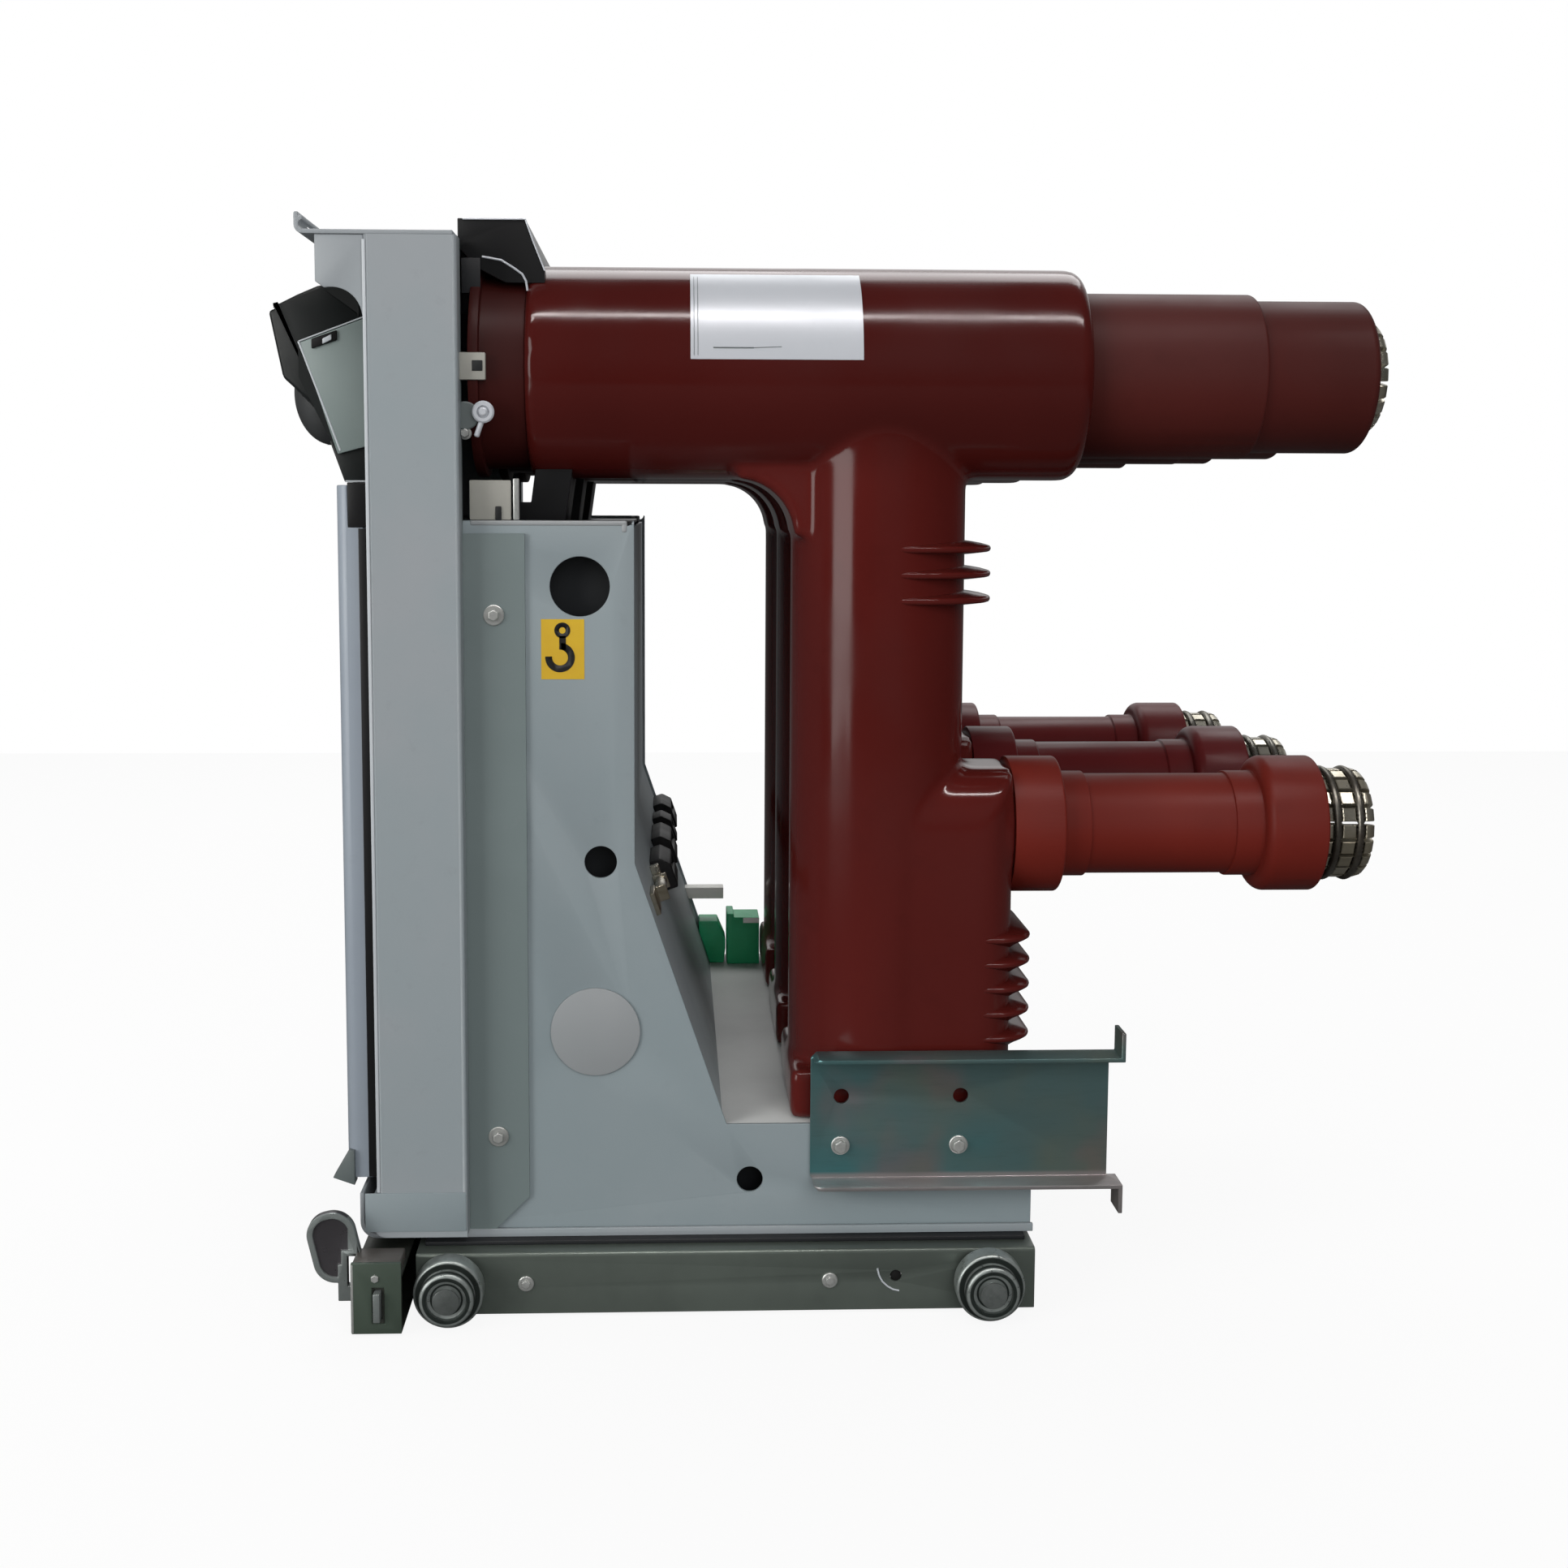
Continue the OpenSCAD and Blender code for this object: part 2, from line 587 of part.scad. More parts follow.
// --- brackets and small pieces of the housing ---
module shutter_bracket_shape() {
  y0 = plate_y;
  reach = bracket_end - bracket_start + bracket_tail;
  difference() {
    union() {
      translate([bracket_start, y0, bracket_bottom])
        cube([reach - bracket_tail, sheet, bracket_top - bracket_bottom]);
      for (z = [bracket_bottom, bracket_top - sheet]) translate([bracket_start, y0, z])
        cube([reach, bracket_flange, sheet]);
      translate([bracket_start + reach - sheet, y0, bracket_top - sheet])
        cube([sheet, bracket_flange, bracket_tab + sheet]);
      translate([bracket_start + reach - sheet, y0, bracket_bottom - bracket_tab])
        cube([sheet, bracket_flange, bracket_tab + sheet]);
    }
    for (x = [18.5, 90]) translate([bracket_start + x, y0 - 1, bracket_top - 27]) rotate([-90, 0, 0])
      cylinder(r = 4.5, h = sheet + 2);
    for (z = [bracket_bottom, bracket_top]) translate([bracket_start, y0 - 1, z]) rotate([0, 45, 0])
      cube([5, 60, 5], center = true);
    // rounded outer corners of the flanges
    translate([bracket_start, y0 + bracket_flange, bracket_bottom - 1]) mirror([0, 1, 0])
      linear_extrude(bracket_top - bracket_bottom + 2) nick(8);
  }
}
// places a piece on the sloping back: x runs along the row, y up the slope, z outwards
module on_slope(y, height)
  translate([deck_start - cover_step - (height - deck_height) * tan(slope_angle), y, height])
    rotate([0, 90 - slope_angle, 0]) rotate([0, 0, 90]) children();
module linkage_shape() {
  on_slope(-142, 224) translate([-16, 0, 0]) cube([26, 14, 3]);
  on_slope(-113, 226) translate([-19, 0, 0]) {
    for (x = [0, 36]) translate([x, 0, 0]) cube([2, 10, 9.5]);
    translate([1, 5, 4.8]) rotate([0, 90, 0]) cylinder(r = 4, h = 36);
  }
  on_slope(-88, 222) cube([8, 19, 6]);
  on_slope(-16, 222) difference() {
    cube([18, 17, 9]);
    translate([0, 17, 9]) rotate([40, 0, 0]) cube([40, 20, 20], center = true);
  }
  on_slope(72, 224) cube([14, 12, 6]);
}
module link_clips_shape() for (clip = [[-74, 52], [8, 58], [91, 28], [150, 48]]) on_slope(clip[0], 220)
  difference() {
    cube([clip[1], 22, 13]);
    translate([-1, 22, 13]) rotate([0, 90, 0]) rotate([0, 0, 45]) cube([8, 8, 200], center = true);
    translate([4, 8, 8]) cube([clip[1] - 8, 6, 6]);
  }
module indicator_bar_shape() difference() {
  translate([180, plate_y - sheet - 14, 158]) cube([34, 14, 9]);
  xz(plate_y - 30, plate_y) polygon([[housing_depth - 60, slope_top], [housing_depth - cover_step, slope_top],
    [deck_start - cover_step, deck_height], [housing_depth - 60, deck_height]]);
}
module deck_insulators_shape() {
  y1 = plate_y - sheet;
  difference() {
    xz(y1 - 26, y1) polygon([[194, deck_height], [214, deck_height], [215.5, deck_height + 12],
      [215.5, deck_height + 19], [209, deck_height + 34], [194, deck_height + 34]]);
    xz(y1 - 30, y1 + 1) polygon([[housing_depth - cover_step, slope_top],
      [deck_start - cover_step, deck_height], [deck_start - cover_step, deck_height - 9],
      [housing_depth - 60, deck_height - 9], [housing_depth - 60, slope_top]]);
  }
  xz(y1 - 30, y1) polygon([[216.5, deck_height], [242.5, deck_height], [242.5, deck_height + 38],
    [222, deck_height + 38], [222, deck_height + 41], [216.5, deck_height + 41]]);
}

// --- chassis ---
module rail_shape() difference() {
  union() {
    translate([rail_start, rail_y - sheet, rail_bottom]) cube([rail_end - rail_start, sheet, rail_top - rail_bottom]);
    for (z = [rail_bottom, rail_top - sheet]) translate([rail_start, rail_y - rail_width, z])
      cube([rail_end - rail_start, rail_width, sheet]);
  }
  xz(rail_y - rail_width - 1, rail_y + 1) polygon([[rail_start - 1, rail_bottom - 1], [rail_start - 1, 17],
    [rail_start + 14, rail_bottom - 1]]);
  translate([305, rail_y + 1, 22]) rotate([90, 0, 0]) cylinder(r = 3.4, h = sheet + 2);
  translate([0, rail_y, rail_top]) yz(rail_start - 1, rail_end + 1) rotate(180) nick(sheet);
}
module chassis_plate_shape() translate([rail_start + 4, -rail_y + 12, rail_top])
  cube([rail_end - rail_start - 8, 2 * (rail_y - 12), tray_bottom - rail_top]);
module nut_bar_shape() difference() {
  translate([30, -rail_y + sheet, rail_bottom + sheet])
    cube([24, 2 * (rail_y - sheet), rail_top - rail_bottom - 2 * sheet]);
  for (y = [-rod_y, rod_y]) translate([29, y, rod_z]) rotate([0, 90, 0]) cylinder(r = rod_r + 0.1, h = 26);
  translate([29, 0, rod_z]) rotate([0, 90, 0]) cylinder(r = screw_r + 1, h = 26);
}
module axle_pins_shape() for (s = [0, 1], x = [front_wheel_x, rear_wheel_x]) mirror([0, s, 0])
  translate([x, rail_y, wheel_r]) rotate([-90, 0, 0]) {
    cylinder(d = axle_diameter, h = wheel_width + 3.3 + 1.5);
    cylinder(d = axle_diameter + 6, h = 2.7);
    translate([0, 0, wheel_width + 3.3]) cylinder(r = 7.8, h = 1.5);
  }
module wheel(x) {
  face_r = face_diameter / 2;
  translate([x, wheel_y0, wheel_r]) rotate([-90, 0, 0]) rotate_extrude() difference() {
    union() {
      square([wheel_r, flange_thickness]);
      square([face_r - 2.5, wheel_width]);
      translate([0, flange_thickness + 3]) square([face_r, wheel_width - flange_thickness - 3]);
    }
    translate([-1, -1]) square([axle_diameter / 2 + axle_clearance + 1, wheel_width + 2]);
    translate([0, wheel_width - 2.5]) square([face_r - 4.5, 4]);
    translate([wheel_r, flange_thickness]) rotate(180) nick(2);
    translate([wheel_r, 0]) mirror([1, 0]) nick(1.5);
    translate([face_r, wheel_width]) rotate(180) nick(2.4);
  }
}
module crossbeam_shape() {
  x0 = -crossbeam_reach;
  z0 = 1.5;
  h = crossbeam_top - z0;
  slot = handle_depth + tongue_travel + 2;
  difference() {
    union() {
      translate([x0, -beam_half, z0]) cube([sheet, 2 * beam_half, h]);
      for (z = [z0, crossbeam_top - sheet]) translate([x0, -beam_half, z])
        cube([crossbeam_depth, 2 * beam_half, sheet]);
      for (s = [0, 1]) mirror([0, s, 0]) translate([x0, beam_half - sheet, z0]) cube([crossbeam_depth, sheet, h]);
      for (y = [-rod_y, 0, rod_y]) translate([x0, y - 14, z0]) cube([crossbeam_depth - 6, 28, h]);
    }
    for (s = [0, 1]) mirror([0, s, 0]) {
      translate([1.3 - 0.4, beam_half - sheet - 1, 9.6]) cube([4.8, sheet + 2, 17.8]);
      translate([x0 - 1, handle_y + handle_depth / 2 + 1 - slot, 13.6]) cube([sheet + 2, slot, 9.8]);
    }
    translate([0, 0, rod_z]) rotate([0, 90, 0]) cylinder(r = screw_r, h = 40);
    for (y = [-rod_y, rod_y]) translate([0, y, rod_z]) rotate([0, 90, 0]) cylinder(r = rod_r, h = 40);
  }
}
module guide_rods_shape() for (y = [-rod_y, rod_y]) translate([0, y, rod_z]) rotate([0, 90, 0])
  cylinder(r = rod_r, h = travel + 66);
module lead_screw_shape() translate([0, 0, rod_z]) rotate([0, 90, 0]) cylinder(r = screw_r, h = travel + 66);
// grip of a tongue: a tilted oval loop cut back where it passes the crossbeam and the column
module handle_outline(inset) difference() {
  translate([-24, 46]) rotate(13) translate([-14 + inset, -21 + inset])
    rounded_rect(28 - 2 * inset, 42 - 2 * inset, 13 - inset);
  translate([-3 - handle_gap - inset, 0]) square(80);
  translate([-crossbeam_reach - handle_gap - inset, -20])
    square([40, 20 + crossbeam_top + handle_gap + inset]);
}
module tongue_shape() {
  y0 = handle_y - handle_depth / 2;
  translate([1.3, beam_half - 40, 10]) cube([4, 40 + tongue_reach, 17]);
  translate([-22, y0, 14]) cube([24, handle_depth, 9]);
  translate([-22, y0, 14]) cube([5.5, handle_depth, 22]);
  difference() {
    xz(y0, y0 + handle_depth) handle_outline(0);
    for (y = [y0 - 1, y0 + handle_depth - 1.5]) xz(y, y + 2.5) difference() {
      handle_outline(3.5);
      translate([-40, 10]) square([40, 14]);
    }
  }
}

// --- control plug ---
module plug_bracket_shape() {
  z = upper_axis;
  xz(plug_y + 12, plug_y + 12 + sheet) polygon([[-48, z + 16], [0, z + 34], [0, z - 42], [-26, z - 49],
    [-48, z - 4]]);
  translate([0, plug_y - 16, z - 42]) cube([sheet, 28 + sheet, 76]);
}
// side outline of the plug's block
module plug_outline(z) polygon([[-plug_reach, z + 36], [-48.6, z + 44.7], [-35, z + 50.5], [-12, z + 34],
  [-12, z - 15], [-35, z - 25], [-58, z - 4]]);
module control_plug_shape() {
  z = upper_axis;
  xz(plug_y - 30, plug_y + 12) difference() {
    plug_outline(z);
    translate([-plug_reach, z + 36]) rotate(18) nick(5);
  }
  translate([-12 - e, plug_y - 24, z - 8]) cube([12 + e, 26, 30]);
}
// rubber boot that takes the wires out of the plug's underside
module plug_boot_shape() {
  z = upper_axis;
  difference() {
    translate([-33, plug_y - 11, z - 12]) rotate_extrude() intersection() {
      scale([1, 31 / 22.5]) circle(22.5);
      translate([0, -40]) square([30, 48]);
    }
    xz(plug_y - 31, plug_y + 13) plug_outline(z);
    translate([-12, plug_y - 40, z - 60]) cube([20, 60, 80]);
  }
  translate([-11, plug_y - 11, cover_top + cap_height])
    cylinder(r = 10.5, h = z - 26 - cover_top - cap_height);
}

// --- the separate pieces ---
module side_plate_left() color(grey_paint) placed() side(1) side_plate_shape();
module side_plate_right() color(grey_paint) placed() side(-1) side_plate_shape();
module column_left() color(grey_paint) placed() side(1) column_shape();
module column_right() color(grey_paint) placed() side(-1) column_shape();
module shutter_bracket_left() color(zinc) placed() side(1) shutter_bracket_shape();
module shutter_bracket_right() color(zinc) placed() side(-1) shutter_bracket_shape();
module rail_left() color(dark_steel) placed() side(1) rail_shape();
module rail_right() color(dark_steel) placed() side(-1) rail_shape();
module tongue_left() color(dark_steel) placed() side(1) tongue_shape();
module tongue_right() color(dark_steel) placed() side(-1) tongue_shape();
module pole_left() color(red) placed() phase(1) pole_shape();
module pole_middle() color(red) placed() phase(0) pole_shape();
module pole_right() color(red) placed() phase(-1) pole_shape();
module fuse_cap_left() color(red) placed() phase(1) fuse_cap_shape();
module fuse_cap_middle() color(red) placed() phase(0) fuse_cap_shape();
module fuse_cap_right() color(red) placed() phase(-1) fuse_cap_shape();
module upper_sleeve_left() color(red) placed() phase(1) upper_sleeve_shape();
module upper_sleeve_middle() color(red) placed() phase(0) upper_sleeve_shape();
module upper_sleeve_right() color(red) placed() phase(-1) upper_sleeve_shape();
module contact_arm_left() color(red) placed() phase(1) contact_arm_shape();
module contact_arm_middle() color(red) placed() phase(0) contact_arm_shape();
module contact_arm_right() color(red) placed() phase(-1) contact_arm_shape();
module upper_contact_left() color(silvered) placed() phase(1) translate([upper_tip, 0, upper_axis]) cluster();
module upper_contact_middle() color(silvered) placed() phase(0) translate([upper_tip, 0, upper_axis]) cluster();
module upper_contact_right() color(silvered) placed() phase(-1) translate([upper_tip, 0, upper_axis]) cluster();
module lower_contact_left() color(silvered) placed() phase(1) translate([lower_tip, 0, lower_axis]) cluster();
module lower_contact_middle() color(silvered) placed() phase(0) translate([lower_tip, 0, lower_axis]) cluster();
module lower_contact_right() color(silvered) placed() phase(-1) translate([lower_tip, 0, lower_axis]) cluster();
module wheel_front_left() color(dark_steel) placed() side(1) wheel(front_wheel_x);
module wheel_front_right() color(dark_steel) placed() side(-1) wheel(front_wheel_x);
module wheel_rear_left() color(dark_steel) placed() side(1) wheel(rear_wheel_x);
module wheel_rear_right() color(dark_steel) placed() side(-1) wheel(rear_wheel_x);
module base_tray() color(grey_paint) placed() base_tray_shape();
module deck() color(grey_paint) placed() deck_shape();
module rear_cover() color(grey_paint) placed() rear_cover_shape();
module top_cover() color(black) placed() top_cover_shape();
module hole_plugs() color(zinc) placed() hole_plugs_shape();
module front_cover() color(grey_paint) placed() front_cover_shape();
module front_cap() color(black) placed() front_cap_shape();
module front_panel() color(grey_paint) placed() front_panel_shape();
module top_lip() color(grey_paint) placed() top_lip_shape();
module lip_cheeks() color(grey_paint) placed() lip_cheeks_shape();
module hood() color(black) placed() hood_shape();
module tube_supports() color(black) placed() tube_supports_shape();
module linkage() color(silvered) placed() linkage_shape();
module link_clips() color(black) placed() link_clips_shape();
module indicator_bar() color(zinc) placed() indicator_bar_shape();
module deck_insulators() color(green) placed() deck_insulators_shape();
module chassis_plate() color(dark_steel) placed() chassis_plate_shape();
module nut_bar() color(dark_steel) placed() nut_bar_shape();
module axle_pins() color(steel) placed() axle_pins_shape();
module crossbeam() color(dark_steel) placed() crossbeam_shape();
module guide_rods() color(steel) placed() guide_rods_shape();
module lead_screw() color(steel) placed() lead_screw_shape();
module plug_bracket() color(grey_paint) placed() side(-1) plug_bracket_shape();
module control_plug() color(black) placed() side(-1) control_plug_shape();
module plug_boot() color(black) placed() side(-1) plug_boot_shape();

side_plate_left();
side_plate_right();
base_tray();
deck();
rear_cover();
top_cover();
hole_plugs();
column_left();
column_right();
front_cover();
front_cap();
front_panel();
top_lip();
lip_cheeks();
hood();
tube_supports();
pole_left();
pole_middle();
pole_right();
fuse_cap_left();
fuse_cap_middle();
fuse_cap_right();
upper_sleeve_left();
upper_sleeve_middle();
upper_sleeve_right();
contact_arm_left();
contact_arm_middle();
contact_arm_right();
upper_contact_left();
upper_contact_middle();
upper_contact_right();
lower_contact_left();
lower_contact_middle();
lower_contact_right();
shutter_bracket_left();
shutter_bracket_right();
linkage();
link_clips();
indicator_bar();
deck_insulators();
rail_left();
rail_right();
chassis_plate();
nut_bar();
axle_pins();
wheel_front_left();
wheel_front_right();
wheel_rear_left();
wheel_rear_right();
crossbeam();
guide_rods();
lead_screw();
tongue_left();
tongue_right();
plug_bracket();
control_plug();
plug_boot();
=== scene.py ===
import bpy, json, math
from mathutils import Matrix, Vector


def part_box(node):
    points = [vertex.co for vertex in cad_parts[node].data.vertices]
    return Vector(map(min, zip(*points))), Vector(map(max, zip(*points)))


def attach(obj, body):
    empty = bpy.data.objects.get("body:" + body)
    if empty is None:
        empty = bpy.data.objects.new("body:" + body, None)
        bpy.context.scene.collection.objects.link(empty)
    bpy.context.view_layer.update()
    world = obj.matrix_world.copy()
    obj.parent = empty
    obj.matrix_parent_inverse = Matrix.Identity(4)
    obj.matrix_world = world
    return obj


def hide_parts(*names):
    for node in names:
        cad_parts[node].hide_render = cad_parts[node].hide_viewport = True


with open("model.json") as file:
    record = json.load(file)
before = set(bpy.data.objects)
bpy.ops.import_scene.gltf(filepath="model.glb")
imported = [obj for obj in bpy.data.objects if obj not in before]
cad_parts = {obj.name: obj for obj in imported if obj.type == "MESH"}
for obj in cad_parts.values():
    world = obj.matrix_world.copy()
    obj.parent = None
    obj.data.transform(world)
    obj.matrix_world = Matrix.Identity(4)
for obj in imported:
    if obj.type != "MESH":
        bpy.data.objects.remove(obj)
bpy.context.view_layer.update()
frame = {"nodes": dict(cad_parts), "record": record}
nodes = frame["nodes"]
slotOf = {part["node"]: part["material_slot"] for part in frame["record"]["subparts"]}
bodyOfNode = {n: body for body, names in frame["record"]["behaviour"]["bodies"].items() for n in names}
print("frame loaded:", len(nodes), "nodes")


# shader maths: a socket that takes part in Python expressions
class Wire:
    def __init__(self, owner, socket):
        self.owner, self.socket = owner, socket

    def calc(self, operation, first, second=0.0):
        return self.owner.node("ShaderNodeMath", {"operation": operation}, {0: first, 1: second})

    def __add__(self, other):
        return self.calc("ADD", self, other)

    def __sub__(self, other):
        return self.calc("SUBTRACT", self, other)

    def __rsub__(self, other):
        return self.calc("SUBTRACT", other, self)

    def __mul__(self, other):
        return self.calc("MULTIPLY", self, other)

    def __lt__(self, other):
        return self.calc("LESS_THAN", self, other)

    __radd__, __rmul__ = __add__, __mul__

    def most(self, other):
        return self.calc("MAXIMUM", self, other)

    def size(self):
        return self.calc("ABSOLUTE", self)

    def ramp(self, low, high, start=0.0, end=1.0):  # low..high becomes start..end, held at both
        return self.owner.node("ShaderNodeMapRange", {"interpolation_type": "SMOOTHSTEP"},
                               {0: self, 1: low, 2: high, 3: start, 4: end})


class NodeTree:  # the nodes of a material or of the world
    def __init__(self, tree):
        self.tree = tree
        self.tree.nodes.clear()

    def node(self, kind, settings={}, inputs={}, output=0):
        made = self.tree.nodes.new(kind)
        for key, value in settings.items():
            setattr(made, key, value)
        for key, value in inputs.items():
            socket = made.inputs[key]
            if isinstance(value, Wire):
                self.tree.links.new(value.socket, socket)
                continue
            wide = hasattr(socket.default_value, "__len__") and len(value) == 3
            short = wide and len(socket.default_value) == 4
            socket.default_value = (*value, 1) if short else value
        return Wire(self, made.outputs[output])

    def end(self, shader, kind="ShaderNodeOutputMaterial"):
        self.tree.links.new(shader.socket, self.tree.nodes.new(kind).inputs[0])


class Finish(NodeTree):  # one material
    def __init__(self, name):
        self.material = bpy.data.materials.new(name)
        self.material.use_nodes = True
        super().__init__(self.material.node_tree)
        self.spot = self.node("ShaderNodeTexCoord", output="Object")

    def noise(self, scale, detail=3.0, roughness=0.55, stretch=None):
        where = self.spot
        if stretch:
            where = self.node("ShaderNodeMapping", {}, {"Vector": where, "Scale": stretch})
        return self.node("ShaderNodeTexNoise", {}, {"Vector": where, "Scale": scale, "Detail": detail,
                                                    "Roughness": roughness})

    def mix(self, amount, first, second):  # colours
        return self.node("ShaderNodeMix", {"data_type": "RGBA"}, {0: amount, 6: first, 7: second}, 2)

    def axis(self, letter):
        return self.node("ShaderNodeSeparateXYZ", {}, {0: self.spot}, letter)

    def bump(self, height, depth, strength):
        return self.node("ShaderNodeBump", {}, {"Strength": strength, "Distance": depth, "Height": height})

    def close(self, colour, rough, normal, metal=0.0, **fixed):
        inputs = {"Base Color": colour, "Roughness": rough, "Metallic": metal, "Normal": normal}
        inputs.update({key.replace("_", " "): value for key, value in fixed.items()})
        self.end(self.node("ShaderNodeBsdfPrincipled", {}, inputs))
        return self.material


def tone(red, green, blue):  # 0-255 screen values to the linear values a shader takes
    return tuple(v / 255 / 12.92 if v < 11 else ((v / 255 + 0.055) / 1.055) ** 2.4
                 for v in (red, green, blue))


def lifted(colour, lift):  # a screen colour made brighter; on rounded edges this is painted highlight, with some wear
    return tuple(min(1, c * lift) for c in tone(*colour))


def dimmed(colour, amount):
    return tuple(c * amount for c in colour)


# places, read from the CAD nodes
def low(node):
    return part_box(node)[0]


def high(node):
    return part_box(node)[1]


columnFront = low("pole_right")[0] - 0.088  # metres; the fuse tubes start 88 mm behind it
columnFace = -low("column_right")[1] * 1000  # millimetres from the middle
phaseY = {"left": 150, "middle": 0, "right": -150}
upperAxis, lowerAxis = 555, 280  # heights of the contacts


def spot(x, y, z):  # millimetres behind the columns' front, left of the middle, above the floor
    return Vector((columnFront + x / 1000, y / 1000, z / 1000))


def sideName(side):
    return "left" if side > 0 else "right"


# modelling helpers
def only(*things):
    if bpy.context.object and bpy.context.object.mode != "OBJECT":
        bpy.ops.object.mode_set(mode="OBJECT")
    bpy.ops.object.select_all(action="DESELECT")
    for thing in things:
        thing.select_set(True)
    bpy.context.view_layer.objects.active = things[0] if things else None


def rename(piece, name):
    piece.name = piece.data.name = name
    return piece


def settle(piece, name=None):  # puts a piece's place and turn into its mesh
    only(piece)
    bpy.ops.object.transform_apply(location=True, rotation=True, scale=True)
    return rename(piece, name) if name else piece


def smoothShade(angle):
    bpy.ops.object.shade_smooth_by_angle(angle=math.radians(angle))


def soften(piece, width, segments=2, angle=30, edgeSlot=-1):
    only(piece)
    edge = piece.modifiers.new("edge", "BEVEL")
    edge.width, edge.segments, edge.limit_method = width / 1000, segments, "ANGLE"
    edge.angle_limit, edge.use_clamp_overlap, edge.material = math.radians(angle), False, edgeSlot
    bpy.ops.object.modifier_apply(modifier="edge")
    smoothShade(32)
    return piece


def block(name, corner, size, width=0.6, segments=2):  # all in millimetres
    only()
    middle = spot(*(c + s / 2 for c, s in zip(corner, size)))
    bpy.ops.mesh.primitive_cube_add(size=1, location=middle)
    piece = bpy.context.object
    piece.scale = [s / 1000 for s in size]
    settle(piece, name)
    return soften(piece, width, segments) if width else piece


def turnedPiece(name, start, axis, steps, sides=48, smooth=35):  # steps are (distance, radius)
    only()
    bpy.ops.mesh.primitive_circle_add(vertices=sides, radius=steps[0][1] / 1000, fill_type="NGON",
                                      location=(0, 0, steps[0][0] / 1000))
    piece = settle(bpy.context.object)
    bpy.ops.object.mode_set(mode="EDIT")
    bpy.ops.mesh.select_all(action="SELECT")
    for (height, radius), (nextHeight, nextRadius) in zip(steps, steps[1:]):
        rise = (0, 0, (nextHeight - height) / 1000)
        bpy.ops.mesh.extrude_region_move(TRANSFORM_OT_translate={"value": rise})
        bpy.ops.transform.resize(value=(nextRadius / radius, nextRadius / radius, 1))
    bpy.ops.object.mode_set(mode="OBJECT")
    piece.rotation_euler = Vector(axis).to_track_quat("Z", "Y").to_euler()
    piece.location = start
    settle(piece, name)
    bpy.ops.object.mode_set(mode="EDIT")
    bpy.ops.mesh.select_all(action="SELECT")
    bpy.ops.mesh.normals_make_consistent(inside=False)
    bpy.ops.object.mode_set(mode="OBJECT")
    smoothShade(smooth)
    return piece


def twin(piece, name, move):  # a copy with its own mesh
    only(piece)
    bpy.ops.object.duplicate(linked=False)
    copied = bpy.context.object
    copied.location = move
    return settle(copied, name)


def joined(name, *parts):
    only(*parts)
    bpy.ops.object.join()
    return rename(parts[0], name)


def pick(piece, test, kind="VERT"):  # enters edit mode with the chosen elements selected
    only(piece)
    bpy.ops.object.mode_set(mode="EDIT")
    bpy.ops.mesh.select_mode(type=kind)
    bpy.ops.mesh.select_all(action="DESELECT")
    bpy.ops.object.mode_set(mode="OBJECT")
    for vertex in piece.data.vertices:
        vertex.select = kind == "VERT" and test(vertex.co)
    if kind == "EDGE":
        for edge in piece.data.edges:
            edge.select = all(test(piece.data.vertices[v].co) for v in edge.vertices)
    if kind == "FACE":
        for face in piece.data.polygons:
            face.select = test(face.center)
    bpy.ops.object.mode_set(mode="EDIT")


def within(x=(-999, 999), z=(-999, 999)):  # a test for corners between these millimetres
    start, end = spot(x[0], 0, z[0]), spot(x[1], 0, z[1])
    return lambda co: start.x < co.x < end.x and start.z < co.z < end.z


def pull(piece, test, move):  # moves the chosen corners by millimetres
    pick(piece, test)
    bpy.ops.transform.translate(value=[m / 1000 for m in move])
    bpy.ops.object.mode_set(mode="OBJECT")
    return piece


def bevelEdges(piece, test, width, segments):
    pick(piece, test, "EDGE")
    bpy.ops.mesh.bevel(offset=width / 1000, segments=segments, affect="EDGES")
    bpy.ops.object.mode_set(mode="OBJECT")


def combine(piece, other, operation):
    only(piece)
    cut = piece.modifiers.new("cut", "BOOLEAN")
    cut.object, cut.operation, cut.solver = other, operation, "EXACT"
    bpy.ops.object.modifier_apply(modifier="cut")
    return piece


def cutAway(piece, cutter):
    combine(piece, cutter, "DIFFERENCE")
    bpy.data.objects.remove(cutter)
    return piece


def rod(name, points, radius):  # a thin bar through points, in millimetres
    only()
    curve = bpy.data.curves.new(name, "CURVE")
    curve.dimensions, curve.bevel_depth, curve.bevel_resolution = "3D", radius / 1000, 2
    curve.use_fill_caps = True
    line = curve.splines.new("POLY")
    line.points.add(len(points) - 1)
    for knot, point in zip(line.points, points):
        knot.co = (*spot(*point), 1)
    piece = bpy.data.objects.new(name, curve)
    bpy.context.scene.collection.objects.link(piece)
    only(piece)
    bpy.ops.object.convert(target="MESH")
    smoothShade(40)
    return bpy.context.object


def dress(piece, body, slotName, materials, *cadNodes):
    piece.data.materials.clear()
    for material in materials:
        piece.data.materials.append(material)
    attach(piece, body)
    if cadNodes:
        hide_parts(*cadNodes)
    return piece


def fit(piece, slotName, finish, body="truck"):  # for a piece with no CAD node of its own
    return dress(piece, body, slotName, finishes[finish][:1])


# camera, floor and light
lens = {  # metres and degrees; focal length and optical centre in points of a square frame
    "place": (0.1724, -1.261, 0.4784), "tilt": 5.626, "roll": 0.189, "turn": 1.991,
    "focal": 2239, "centre": (906.2, 839.2), "frame": 1932, "film": 36,
}


